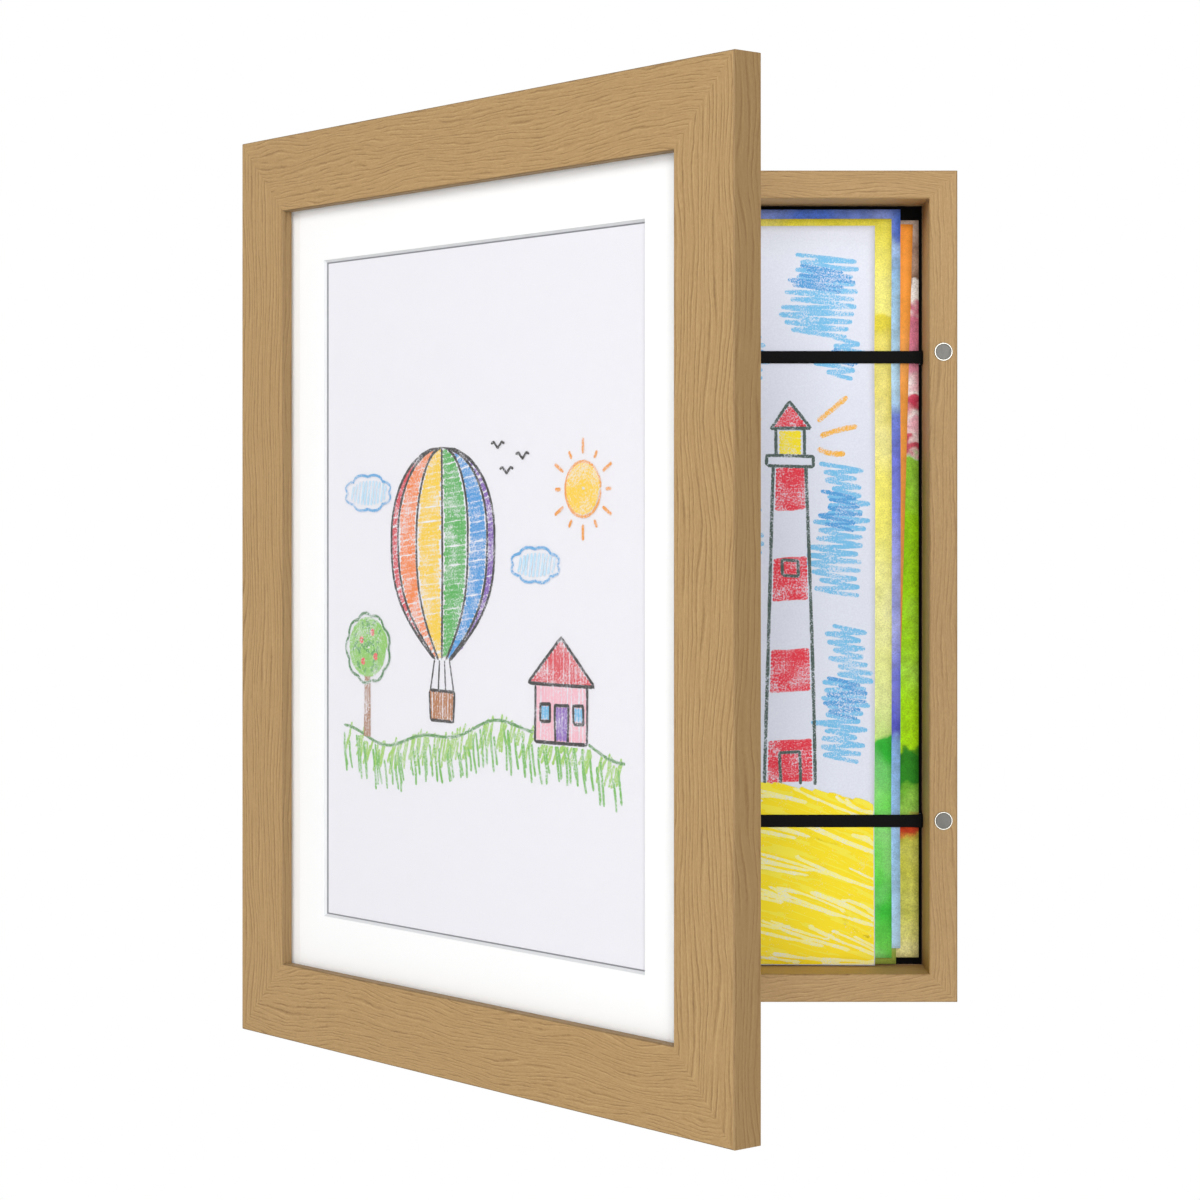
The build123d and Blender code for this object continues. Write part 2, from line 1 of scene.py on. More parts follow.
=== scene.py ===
# %% [markdown]
# # A picture frame with a store behind the picture
#
# The real object is a shallow oak-look box that hangs on the wall. A glazed door is hinged on its left
# and held shut by two magnets, and drawings wait in the box behind two elastic straps. The hard parts
# come from the CAD model, loaded here as a fixed frame. This lesson dresses them: it lights the frame,
# finishes every surface, and builds what CAD can only hold a place for, which is paper, crayon, elastic
# and felt.

# %% The frame
import math

import bpy
import numpy as np
from mathutils import Matrix, Vector
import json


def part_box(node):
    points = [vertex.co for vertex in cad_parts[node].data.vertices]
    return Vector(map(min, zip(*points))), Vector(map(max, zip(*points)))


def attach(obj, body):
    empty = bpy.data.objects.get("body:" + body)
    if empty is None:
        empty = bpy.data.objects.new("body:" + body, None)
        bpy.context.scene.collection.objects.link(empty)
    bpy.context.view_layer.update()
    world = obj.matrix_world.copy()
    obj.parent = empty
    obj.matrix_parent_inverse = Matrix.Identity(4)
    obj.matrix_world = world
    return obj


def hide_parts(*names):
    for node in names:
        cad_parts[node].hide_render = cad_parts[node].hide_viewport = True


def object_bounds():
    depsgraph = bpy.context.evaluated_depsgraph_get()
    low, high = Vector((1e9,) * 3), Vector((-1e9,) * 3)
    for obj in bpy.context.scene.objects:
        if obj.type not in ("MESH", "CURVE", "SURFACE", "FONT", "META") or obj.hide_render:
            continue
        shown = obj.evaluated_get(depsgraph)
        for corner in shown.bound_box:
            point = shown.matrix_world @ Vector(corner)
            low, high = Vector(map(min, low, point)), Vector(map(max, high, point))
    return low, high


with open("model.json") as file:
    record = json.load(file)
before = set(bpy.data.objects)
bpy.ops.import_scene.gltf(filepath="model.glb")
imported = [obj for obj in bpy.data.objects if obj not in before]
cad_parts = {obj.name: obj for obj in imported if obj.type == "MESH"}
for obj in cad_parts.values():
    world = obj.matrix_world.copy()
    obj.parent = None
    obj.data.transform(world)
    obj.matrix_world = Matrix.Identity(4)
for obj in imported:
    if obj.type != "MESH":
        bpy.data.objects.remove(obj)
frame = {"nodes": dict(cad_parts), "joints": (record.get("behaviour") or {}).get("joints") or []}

MM = 0.001
nodes = frame["nodes"]
cad_low, cad_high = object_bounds()
scene = bpy.context.scene
scene.view_settings.view_transform = "Standard"
chance = np.random.default_rng(7)
print("CAD box in mm:", [round(side / MM, 1) for side in cad_high - cad_low])

# %% [markdown]
# ## Two sets of axes
#
# The box is square to the world, but the door stands open. Anything laid on the door is easier to place
# along the door's own axes: along it, up it, and out of its face. The hinge joint says how far the door
# is from closed, so the turn is read from there and not typed.

# %% Axes of the box and of the door
hinge = frame["joints"][0]
door_turn = math.radians(-hinge["range_deg"][0])
turn_cos, turn_sin = math.cos(door_turn), math.sin(door_turn)
box_axes = np.array([(1, 0, 0), (0, 0, 1), (0, -1, 0)], float)
door_axes = np.array([(turn_cos, -turn_sin, 0), (0, 0, 1), (-turn_sin, -turn_cos, 0)])


def corners(name):
    """The vertices of a CAD node as one array."""
    mesh = nodes[name].data
    points = np.zeros(len(mesh.vertices) * 3)
    mesh.vertices.foreach_get("co", points)
    return points.reshape(-1, 3)


def extent(name, axes):
    """Lowest and highest place of a node along three axes: the smallest and largest dot products."""
    places = corners(name) @ axes.T
    return places.min(0), places.max(0)


def placed(places, axes):
    """Places along three axes turned back to the frame: each is a sum of the axes times its numbers."""
    return places @ axes


print("Door open by", round(math.degrees(door_turn), 1), "degrees")

# %% [markdown]
# ## Camera
#
# The photograph looks straight at the wall, level, from a little over a metre away, and the door's near
# edge looms large because of that. The horizon lies above the middle of the picture. A level camera
# with a lens shift gives this, where a tilted camera would make the uprights lean.

# %% Camera
photo_side = 1200
focal_pixels = 2812.1
horizon_pixel = 531.8
camera_place = (-8.48 * MM, -1139.03 * MM, -134.51 * MM)

camera_data = bpy.data.cameras.new("camera")
camera_data.sensor_width = 36
camera_data.lens = camera_data.sensor_width * focal_pixels / photo_side
camera_data.shift_y = (horizon_pixel - photo_side / 2) / photo_side
camera = bpy.data.objects.new("camera", camera_data)
camera.location = camera_place
camera.rotation_euler = (math.radians(90), 0, 0)
scene.collection.objects.link(camera)
scene.camera = camera
print("Lens", round(camera_data.lens, 1), "mm, shift", round(camera_data.shift_y, 4))

# %% [markdown]
# ## Small helpers
#
# Colours are written as hex values, as a colour picker shows them, and turned to the linear values that
# the renderer mixes. One function adds a shader node: its settings are named, and its inputs are given
# as a dictionary whose values are numbers or other nodes' outputs. A node given as an input stands for
# its first output.

# %% Colours
def linear(hex_colour):
    """sRGB to linear: v / 12.92 for a value v up to 0.04045, else ((v + 0.055) / 1.055) ** 2.4."""
    values = np.array([int(hex_colour[i : i + 2], 16) for i in (0, 2, 4)]) / 255
    light = np.where(values <= 0.04045, values / 12.92, ((values + 0.055) / 1.055) ** 2.4)
    return (*light.tolist(), 1.0)


white = linear("FFFFFF")
print("White is", [round(value, 2) for value in white])


# %% Nodes and finishes
def feed(node, inputs):
    """Sets a node's inputs to numbers, or links them to other nodes."""
    for socket, value in inputs.items():
        if isinstance(value, bpy.types.Node):
            value = value.outputs[0]
        if isinstance(value, bpy.types.NodeSocket):
            node.id_data.links.new(value, node.inputs[socket])
        else:
            node.inputs[socket].default_value = value


def add(tree, kind, inputs=None, **settings):
    """Adds a shader node with its settings, and sets or links its inputs."""
    node = tree.nodes.new("ShaderNode" + kind)
    for setting, value in settings.items():
        setattr(node, setting, value)
    feed(node, inputs or {})
    return node


def blank_material(name, **sockets):
    """A material with one Principled shader whose constant sockets are set, and its tree and shader."""
    material = bpy.data.materials.new(name)
    material.use_nodes = True
    shader = material.node_tree.nodes["Principled BSDF"]
    feed(shader, {socket.replace("_", " "): value for socket, value in sockets.items()})
    return material, material.node_tree, shader


def set_ramp(ramp, stops):
    """Gives a ramp its stops, each a position and a hex colour, or a plain share of light."""
    elements = ramp.color_ramp.elements
    elements.remove(elements[1])
    for order, (position, tone) in enumerate(stops):
        element = elements.new(position) if order else elements[0]
        element.position = position
        element.color = linear(tone) if isinstance(tone, str) else (tone, tone, tone, 1.0)
    return ramp


def paint(node_names, material):
    """Gives CAD nodes their finish."""
    for name in node_names:
        nodes[name].data.materials.clear()
        nodes[name].data.materials.append(material)


# %% [markdown]
# ## Studio
#
# The frame hangs at eye level, so the floor is far below it and out of the camera's view. A soft box
# above and to the left lights the open door and gives the mat its soft shadow under the top rail. Two
# in front, one above and one nearly level, reach into the box past the door. A lamp's power is worked
# out from the share of full light that it should give: a surface that faces an area lamp of power P at
# distance d sends back its colour times P / (pi d)^2.

# %% Lamps
focus = (cad_low + cad_high) / 2


def soft_box(name, direction, distance, side, share):
    """A square area lamp that faces the object and gives this share of full light there."""
    lamp_data = bpy.data.lights.new(name, "AREA")
    lamp_data.size = side
    lamp_data.energy = share * (math.pi * distance) ** 2
    lamp = bpy.data.objects.new(name, lamp_data)
    towards = Vector(direction).normalized()
    lamp.location = focus + towards * distance
    lamp.rotation_euler = towards.to_track_quat("Z", "Y").to_euler()
    scene.collection.objects.link(lamp)


soft_boxes = {
    "key_soft_box": ((-0.62, -0.72, 0.60), 2.2, 1.0, 0.24),
    "front_soft_box": ((0.04, -0.95, 0.26), 5.0, 2.1, 0.41),
    "low_soft_box": ((0.04, -0.98, -0.10), 5.0, 2.1, 0.345),
    "rear_soft_box": ((0.2, 0.85, 0.45), 2.4, 1.6, 0.40),
}
for name, setting in soft_boxes.items():
    soft_box(name, *setting)
print("Lamps:", ", ".join(soft_boxes))

# %% [markdown]
# ## White room and floor
#
# The room's white is seen by the camera and in reflections. It lights the surfaces less strongly, and
# more from the left than from the right, which keeps the open door's thick edge a shade darker. The
# kind of ray tells the two apart: camera, glossy and transmission rays see full white, and all others
# the dimmer room. The floor is painted boards, matt and pale. For the camera, four fifths of what it
# shows is a plain white glow, so it looks nearly as white as the room and still takes a shadow.

# %% White room
room_left, room_right = 0.48, 0.05
scene.world = bpy.data.worlds.new("white_room")
scene.world.use_nodes = True
tree = scene.world.node_tree
tree.nodes.clear()
ray = add(tree, "LightPath").outputs
seen = ray["Is Camera Ray"]
for other in ("Is Glossy Ray", "Is Transmission Ray"):
    seen = add(tree, "Math", {0: seen, 1: ray[other]}, operation="MAXIMUM")
direction = add(tree, "SeparateXYZ", {0: add(tree, "TexCoord").outputs["Generated"]}).outputs
side_light = add(
    tree,
    "MapRange",
    {"Value": direction["X"], "From Min": -1.0, "From Max": 1.0, "To Min": room_left, "To Max": room_right},
)
dim = add(tree, "Background", {"Color": white, "Strength": side_light})
full = add(tree, "Background", {"Color": white, "Strength": 1.0})
mixed = add(tree, "MixShader", {0: seen, 1: dim, 2: full})
add(tree, "OutputWorld", {"Surface": mixed})
print("The room gives", room_left, "of full light from the left and", room_right, "from the right")

# %% Floor
hanging_height = 1.5
half_floor = 3.0
floor_glow = 0.8
floor_turns = ((-1, -1), (1, -1), (1, 1), (-1, 1))
floor_corners = [(x * half_floor, y * half_floor, -hanging_height) for x, y in floor_turns]
floor_mesh = bpy.data.meshes.new("floor")
floor_mesh.from_pydata(floor_corners, [], [(0, 1, 2, 3)])
floor = bpy.data.objects.new("floor", floor_mesh)
scene.collection.objects.link(floor)
floor_paint, tree, shader = blank_material("pale_floor_paint", Roughness=0.8, Base_Color=linear("F4F4F2"))
ray = add(tree, "LightPath").outputs
glow = add(tree, "Emission", {"Color": white, "Strength": 1.0})
seen = add(tree, "Math", {0: ray["Is Camera Ray"], 1: floor_glow}, operation="MULTIPLY")
feed(tree.nodes["Material Output"], {"Surface": add(tree, "MixShader", {0: seen, 1: shader, 2: glow})})
floor_mesh.materials.append(floor_paint)
print("Floor", 2 * half_floor, "m wide,", hanging_height, "m below the frame")

# %% [markdown]
# ## Oak-look foil
#
# Cheap frames like this one are MDF wrapped in printed foil, pressed so that the pores can be felt. Seen
# close, the print is warm tan with short, wavy, darker pores along each member, which swing into arches
# on the top and bottom. One shader pattern serves all eight members. Each gets a Mapping that turns the
# pattern to run along it, and a shift so that no two show the same piece of print. The distance across
# is added to the depth, so the print wraps round the edge on to the sides, as foil does. The back of
# each member is bare MDF.

# %% Noise that runs along a member
def stretched_noise(tree, vector, along, across, detail=2.0, roughness=0.5):
    """Noise whose spots are along by across millimetres, from a vector in millimetres."""
    squeezed = add(tree, "VectorMath", {0: vector, 1: (1 / along, 1 / across, 1)}, operation="MULTIPLY")
    return add(
        tree, "TexNoise", {"Vector": squeezed, "Scale": 1.0, "Detail": detail, "Roughness": roughness}
    )


def swayed(tree, vector, noise, amount):
    """The vector with its second part moved by noise, up to half the amount each way."""
    centred = add(tree, "Math", {0: noise, 1: 0.5}, operation="SUBTRACT")
    return add(tree, "VectorMath", {0: centred, 1: (0, amount, 0), 2: vector}, operation="MULTIPLY_ADD")


def weighted(tree, total, value, weight):
    """total + (value - 0.5) * weight."""
    centred = add(tree, "Math", {0: value, 1: 0.5}, operation="SUBTRACT")
    return add(tree, "Math", {0: centred, 1: weight, 2: total}, operation="MULTIPLY_ADD")


# %% The print on the foil
foil_colours = [(0.18, "7A6140"), (0.42, "9D7D52"), (0.60, "AC8B5E"), (0.86, "BD9C6C")]
# Each pore is a pressed line. Its core is dark, and a painted highlight runs along one lip, a fifth of a turn
# on.
lip_offset, painted_lip_highlight = 0.4 * math.pi, 0.58
middle_tone, pore_allowance = 0.60, 0.045
# Wide bands, figure and fibres: length and width of a spot in mm, roughness and weight of the noise.
print_layers = [(90, 6, 0.5, 0.10), (7.0, 0.8, 0.55, 0.30), (1.5, 0.5, 0.65, 0.40)]


def pressed_lines(tree, place, length, spacing, whole):
    """The dark core of all pores and the painted highlight along one lip of each, as shares. A line is the
    crest of sin(2 pi y / spacing), with y the place across. Noise sways it, and where other noise falls below
    whole, it fades out."""
    loose = stretched_noise(tree, place, 3 * length, 3 * spacing, 1.0)
    loosened = add(tree, "SeparateXYZ", {0: swayed(tree, place, loose, 2.6 * spacing)}).outputs
    fade = stretched_noise(tree, place, length, 1.3 * spacing, 1.0)
    fade = add(tree, "MapRange", {"Value": fade, "From Min": whole - 0.26, "From Max": whole})
    for offset in (0.0, lip_offset):
        turns = {0: loosened["Y"], 1: 2 * math.pi / spacing, 2: offset}
        crest = add(tree, "Math", {0: add(tree, "Math", turns, operation="MULTIPLY_ADD")}, operation="SINE")
        line = add(tree, "MapRange", {"Value": crest, "From Min": 0.1, "From Max": 1.0})
        yield add(tree, "Math", {0: line, 1: fade}, operation="MULTIPLY")


def print_tone(tree, place, flow, grain):
    """How pale the print is, from 0 to 1. Flow is how far, in millimetres, the figure swings across the
    member, and grain is the length and the spacing of its pores, the noise at which they are whole and
    how dark they are."""
    length, spacing, whole, pore_depth = grain
    place = swayed(tree, place, stretched_noise(tree, place, 70, 34, 1.0), flow)
    place = swayed(tree, place, stretched_noise(tree, place, 7, 3.5), 1.2)
    core, painted_lip = pressed_lines(tree, place, length, spacing, whole)
    tone = middle_tone - pore_allowance
    for along, across, roughness, weight in print_layers:
        tone = weighted(tree, tone, stretched_noise(tree, place, along, across, 2.0, roughness), weight)
    # Each core darkens the tone, and the painted highlight lightens it along one lip.
    for line, depth in ((core, -pore_depth), (painted_lip, painted_lip_highlight * pore_depth)):
        tone = add(tree, "Math", {0: line, 1: depth, 2: tone}, operation="MULTIPLY_ADD")
    return tone


# %% Foil drawn round a member
# Painted shade and light, as factors on the foil's colour: on a member's sides, on its arris and on the side
# that faces the middle. Below 1 is painted shade, and the box's 1.38 is painted light on its walls inside the
# well.
door_painted_shade, box_painted_shade_and_light = (0.86, 0.70, 0.74), (1.0, 0.85, 1.38)
# On the sides the foil is stretched, so its print is fainter there.
side_print = 0.70
mdf_skin = 0.05


def oak_foil(name, axes, upright, back, shift, flow, grain, painted_shade_and_light, inward):
    """Oak print for one member. The face's normal times the axis out of the member tells how far the foil is
    drawn round an edge, where its print is fainter, and sets the painted shade on the door's sides and on
    every arris. The normal times the inward axis finds the side that faces the middle, where shade is painted
    on the door and light on the box. Whatever lies as deep as the back is MDF."""
    run, across = (axes[1], -axes[0]) if upright else (axes[0], axes[1])
    material, tree, shader = blank_material(name, Roughness=0.6, Specular_IOR_Level=0.25)
    where = add(tree, "TexCoord").outputs
    turned = {"Rotation": Matrix((run, across, axes[2])).to_euler(), "Scale": (1 / MM,) * 3}
    place = add(tree, "Mapping", {"Vector": where["Object"], "Location": shift, **turned})
    parts = add(tree, "SeparateXYZ", {0: place}).outputs
    wrapped = add(tree, "Math", {0: parts["Y"], 1: parts["Z"]}, operation="ADD")
    tone = print_tone(tree, add(tree, "CombineXYZ", {"X": parts["X"], "Y": wrapped}), flow, grain)

    outward, facing_in = (
        add(
            tree, "VectorMath", {0: where["Normal"], 1: way.tolist()}, operation="DOT_PRODUCT"
        ).outputs["Value"]
        for way in (axes[2], inward)
    )
    clear = add(tree, "MapRange", {"Value": outward, "From Min": 0.4, "From Max": 0.9, "To Min": side_print})
    tone = weighted(tree, middle_tone, tone, clear)
    colour = set_ramp(add(tree, "ValToRGB", {0: tone}), foil_colours)

    # The ramp paints shade on a member's sides and arris. The inner map paints shade on the door's side that
    # faces the middle, and light on the box's.
    painted_side_shade, painted_arris_shade, inner_painted_shade_and_light = painted_shade_and_light
    inner = {"Value": facing_in, "From Min": 0.3, "From Max": 0.9, "To Min": 1.0, "To Max": inner_painted_shade_and_light}
    painted_shade_stops = [(0.15, painted_side_shade), (0.45, painted_arris_shade), (0.88, painted_arris_shade), (0.99, 1.0)]
    shade = set_ramp(add(tree, "ValToRGB", {0: outward}), painted_shade_stops)
    shade = add(tree, "Math", {0: shade, 1: add(tree, "MapRange", inner)}, operation="MULTIPLY")
    foil_with_painted_shade = add(tree, "VectorMath", {0: colour, "Scale": shade}, operation="SCALE")

    grit = stretched_noise(tree, place, 1.1, 0.9, 3.0, 0.7)
    mdf = set_ramp(add(tree, "ValToRGB", {0: grit}), [(0.3, "8A6A48"), (0.7, "A98A63")])
    at_back = add(tree, "Math", {0: parts["Z"], 1: back / MM + mdf_skin}, operation="LESS_THAN")
    finish = add(tree, "Mix", {0: at_back, 6: foil_with_painted_shade, 7: mdf}, data_type="RGBA")
    bump = add(tree, "Bump", {"Height": tone, "Distance": 0.16 * MM, "Strength": 0.7})
    feed(shader, {"Base Color": finish.outputs[2], "Normal": bump})
    return material


# %% Foil on the eight members
# Length and spacing of the pores in mm, the noise at which they are whole, and how dark they are.
rail_grain = (10.0, 1.45, 0.60, 0.30)
stile_grain = (20.0, 2.2, 0.555, 0.30)
wall_grain = (22.0, 1.6, 0.58, 0.23)
# Each member's axes, whether it is upright, its flow, and which way along its axis the middle lies.
members = {
    "door_top_rail": (door_axes, False, 14.0, -1),
    "door_bottom_rail": (door_axes, False, 20.0, 1),
    "door_hinge_stile": (door_axes, True, 10.0, 1),
    "door_magnet_stile": (door_axes, True, 14.0, -1),
    "box_top_wall": (box_axes, False, 34.0, -1),
    "box_bottom_wall": (box_axes, False, 34.0, 1),
    "box_left_wall": (box_axes, True, 8.0, 1),
    "box_right_wall": (box_axes, True, 8.0, -1),
}
for number, (name, (axes, upright, flow, way_in)) in enumerate(members.items()):
    back = extent(name, axes)[0][2]
    shift = (97.0 * number, 41.0 * number, 0.0)
    on_door = name.startswith("door")
    grain = (stile_grain if on_door else wall_grain) if upright else rail_grain
    # Painted shade for the door's members, and painted shade and light for the box's.
    painted_shade_and_light = door_painted_shade if on_door else box_painted_shade_and_light
    inward = axes[0 if upright else 1] * way_in
    foil = oak_foil(f"oak_print_foil_{name}", axes, upright, back, shift, flow, grain, painted_shade_and_light, inward)
    paint([name], foil)
print("Members in oak foil:", len(members))

# %% [markdown]
# ## Boards and mat
#
# The mat is card in three layers: a bright white face, a core and a grey backing paper, which shows as a thin
# line round the window, where the card is cut at a slant. The core is painted light grey, as painted shade on
# the slanted cut. The backing is a real layer, painted dark enough to stand also for the contact shadow along
# the window's edge. The shader tells the layers apart by the distance out of the door. The backing is
# hardboard, the back of the box is MDF, and the well is lined with black paper. Each of these is pressed
# fibre, so one function makes them all from two tones and the size of a spot.

# %% Board and paper finishes
def tooth_bump(tree, shader, spot, height, strength=0.5):
    """Paper tooth: fine noise with spots of this size, pressed into the surface by this height."""
    where = add(tree, "TexCoord").outputs["Object"]
    noise = add(tree, "TexNoise", {"Vector": where, "Scale": 1 / spot, "Detail": 3.0})
    feed(shader, {"Normal": add(tree, "Bump", {"Height": noise, "Distance": height, "Strength": strength})})
    return noise


def fibre_board(name, dark, pale, spot, roughness, specular=0.5):
    """Pressed fibres: two tones mixed by noise with spots of this size, matt or slightly glossy."""
    material, tree, shader = blank_material(name, Roughness=roughness, Specular_IOR_Level=specular)
    noise = tooth_bump(tree, shader, spot, 0.08 * MM)
    feed(shader, {"Base Color": set_ramp(add(tree, "ValToRGB", {0: noise}), [(0.32, dark), (0.68, pale)])})
    return material


# %% Mat card
# Painted shade: the core's light grey stands for shade on the slanted cut, and the backing's dark grey is a
# real layer that also stands for the contact shadow round the window.
mat_face, mat_core_painted_shade, mat_backing_and_painted_shadow = "FAFAFA", "D8D9DB", "7C7D82"
face_share, backing_share = 0.04, 0.33
mat_card, tree, shader = blank_material("mat_card_with_grey_backing", Roughness=0.9)
tooth_bump(tree, shader, 0.5 * MM, 0.05 * MM)
where = add(tree, "TexCoord").outputs["Object"]
out_of_door = add(tree, "VectorMath", {0: where, 1: door_axes[2].tolist()}, operation="DOT_PRODUCT")
mat_rear, mat_front = (corner[2] for corner in extent("mat_board", door_axes))
depth_share = add(
    tree, "MapRange", {"Value": out_of_door.outputs["Value"], "From Min": mat_rear, "From Max": mat_front}
)
mat_layers = add(tree, "ValToRGB", {0: depth_share})
set_ramp(mat_layers, [(0.0, mat_backing_and_painted_shadow), (backing_share, mat_core_painted_shade), (1 - face_share, mat_face)])
mat_layers.color_ramp.interpolation = "CONSTANT"
feed(shader, {"Base Color": mat_layers})
paint(["mat_board"], mat_card)
print("Mat card is", round((mat_front - mat_rear) / MM, 2), "mm thick")

# %% Boards and lining
boards = {
    "display_sheet": fibre_board("smooth_drawing_paper", "E8E7ED", "EDECF2", 0.6 * MM, 0.85),
    "door_backing": fibre_board("tempered_hardboard", "5F3F27", "7A5536", 1.2 * MM, 0.55),
    "back_board": fibre_board("mdf_back_board", "94744F", "B3946C", 0.9 * MM, 0.75),
    "back_lining": fibre_board("black_lining_paper", "030303", "070707", 0.5 * MM, 0.9, 0.1),
}
for name, material in boards.items():
    paint([name], material)
print("Boards and papers:", ", ".join(boards))

# %% [markdown]
# ## Metal fittings
#
# Five finishes cover the fittings. Hinges are nickel-plated steel and their screws a duller one, so that
# the heads can be told from the leaves. Hangers, nails, tabs and staples are zinc-plated with a faint
# cloudiness. The magnets are a dull nickel in brighter cups. Each metal keeps the default IOR, and fine
# stretched noise in the roughness stands for the rolling and drawing marks.

# %% Metals
# How many rolling marks, across and along, and how many clouds there are to a millimetre. The marks are
# finer on real steel, and are drawn as coarse as they need to be to show.
marks_across, marks_along, clouds = 5.2 / MM, 0.42 / MM, 0.25 / MM


def plated(name, colour, roughness, cloud, marks):
    """Plated steel: roughness varies by marks, and cloud is how much the colour drifts."""
    material, tree, shader = blank_material(name, Metallic=1.0)
    where = add(tree, "TexCoord").outputs["Object"]
    squeeze = (marks_across, marks_across, marks_along)
    streaks = add(tree, "Mapping", {"Vector": where, "Scale": squeeze})
    fine = add(tree, "TexNoise", {"Vector": streaks, "Scale": 1.0, "Detail": 2.0})
    wide = add(tree, "TexNoise", {"Vector": where, "Scale": clouds, "Detail": 3.0})
    common = {"From Min": 0.3, "From Max": 0.7}
    rough, shade = (
        add(tree, "MapRange", {"Value": noise, "To Min": low, "To Max": high, **common})
        for noise, low, high in ((fine, roughness - marks, roughness + marks), (wide, 1 - cloud, 1.0))
    )
    tinted = add(tree, "VectorMath", {0: linear(colour)[:3], "Scale": shade}, operation="SCALE")
    feed(shader, {"Base Color": tinted, "Roughness": rough})
    return material


# %% Fittings
zinc_nodes = ["portrait_hanger", "landscape_hanger", "hanger_nails", "back_board_brads", "flex_tabs"]
zinc_nodes += ["strap_staples", "box_v_nails", "door_v_nails"]
hinge_parts = ("box_leaf", "door_leaf", "pin")
hinge_nodes = [f"{end}_hinge_{part}" for end in ("upper", "lower") for part in hinge_parts]
screw_nodes = ["hinge_screws_box", "hinge_screws_door", "strike_screws"]
paint(zinc_nodes, plated("zinc_plated_steel", "BCC0C4", 0.38, 0.18, 0.04))
paint(hinge_nodes, plated("nickel_plated_hinge_steel", "BDBAB2", 0.30, 0.06, 0.03))
paint(screw_nodes, plated("nickel_plated_screw_steel", "98958D", 0.36, 0.06, 0.03))
paint(["magnets"], plated("nickel_plated_magnet", "565552", 0.48, 0.12, 0.05))
paint(["magnet_cups", "strike_plates"], plated("bright_nickel_cup", "908E88", 0.26, 0.06, 0.04))
print("Nodes in zinc:", len(zinc_nodes), "and in nickel:", len(hinge_nodes) + len(screw_nodes) + 3)

# %% [markdown]
# ## Surfaces from grids
#
# The soft pieces are surfaces worked out as whole arrays: a grid of points, rows by columns, that one
# function turns into quads. A piece's place is in its mesh, and its object stays at the origin.

# %% Grid surfaces
def joined(*parts):
    """Points from their numbers along each axis. A single number is repeated for all points."""
    return np.stack(np.broadcast_arrays(*parts), axis=-1)


def sideways(along):
    """Unit vectors a quarter turn to the left of these directions in a plane: (-y, x) / length."""
    across = joined(-along[..., 1], along[..., 0])
    return across / np.maximum(np.linalg.norm(across, axis=-1, keepdims=True), 1e-9)


def grid_faces(rows, columns, wrap_rows=False, wrap_columns=False):
    """Quads of a grid: each joins a point, the next row, the next of both and the next column."""
    counts = rows - (not wrap_rows), columns - (not wrap_columns)
    i, j = np.meshgrid(np.arange(counts[0]), np.arange(counts[1]), indexing="ij")
    i_next, j_next = (i + 1) % rows, (j + 1) % columns
    quads = joined(i * columns + j, i_next * columns + j, i_next * columns + j_next, i * columns + j_next)
    return quads.reshape(-1, 4)


def finished(name, points, faces, body, material_slot, *materials, smooth=True):
    """A piece from points and faces, which rides on a body."""
    mesh = bpy.data.meshes.new(name)
    mesh.from_pydata(points.reshape(-1, 3).tolist(), [], faces)
    mesh.polygons.foreach_set("use_smooth", np.full(len(mesh.polygons), smooth))
    for material in materials:
        mesh.materials.append(material)
    mesh.update()
    piece = bpy.data.objects.new(name, mesh)
    scene.collection.objects.link(piece)
    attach(piece, body)
    print(name, "has", len(mesh.polygons), "faces")
    return piece


# %% [markdown]
# ## Glazing
#
# The picture sits behind a clear acrylic pane, cut from sheet with its edges sanded. It lies right on
# the mat, and two faces in one plane fight in a render, so this pane is a hair thinner than the CAD one.
# The acrylic has to let the lamps through, and a refracting shader would leave its shadow on the
# picture. A thin clear sheet doesn't bend what is behind it, so a Transparent shader with a Fresnel
# share of gloss gives both the view and the faint reflection. Only the face turned to the viewer
# reflects: the unbent ray would meet the far face at an angle where it turns into a mirror.

# %% Clear acrylic
acrylic, tree, shader = blank_material("clear_cast_acrylic")
tree.nodes.remove(shader)
fresnel = add(tree, "Fresnel", {"IOR": 1.49})
clear = add(tree, "BsdfTransparent", {"Color": linear("FEFEFE")})
gloss = add(tree, "BsdfGlossy", {"Color": white, "Roughness": 0.04})
far_face = add(tree, "NewGeometry").outputs["Backfacing"]
shadow_ray = add(tree, "LightPath").outputs["Is Shadow Ray"]
hidden = add(tree, "Math", {0: far_face, 1: shadow_ray}, operation="MAXIMUM")
shown = add(tree, "Math", {0: 1.0, 1: hidden}, operation="SUBTRACT")
share = add(tree, "Math", {0: fresnel, 1: shown}, operation="MULTIPLY")
feed(tree.nodes["Material Output"], {"Surface": add(tree, "MixShader", {0: share, 1: clear, 2: gloss})})

# %% Clear pane
pane_gap = 0.06 * MM
edge_break = 0.15 * MM
pane_low, pane_high = extent("glazing", door_axes)
pane_low, pane_high = pane_low + pane_gap, pane_high - pane_gap
# The sides of the pane as a profile of four corners, carried round from its rear face to its front.
pane_corners = np.array([(0, 0), (1, 0), (1, 1), (0, 1)])
flat_places = pane_low[:2] + pane_corners * (pane_high - pane_low)[:2]
pane_points = [joined(*flat_places.T, depth) for depth in (pane_low[2], pane_high[2])]
pane_faces = grid_faces(2, 4, wrap_columns=True)[:, ::-1].tolist() + [[3, 2, 1, 0], [4, 5, 6, 7]]
pane_points = placed(np.stack(pane_points), door_axes)
pane = finished("clear_pane", pane_points, pane_faces, "door", "acrylic", acrylic, smooth=False)
sanded = pane.modifiers.new("sanded_edges", "BEVEL")
sanded.width = edge_break
sanded.segments = 2
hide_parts("glazing")

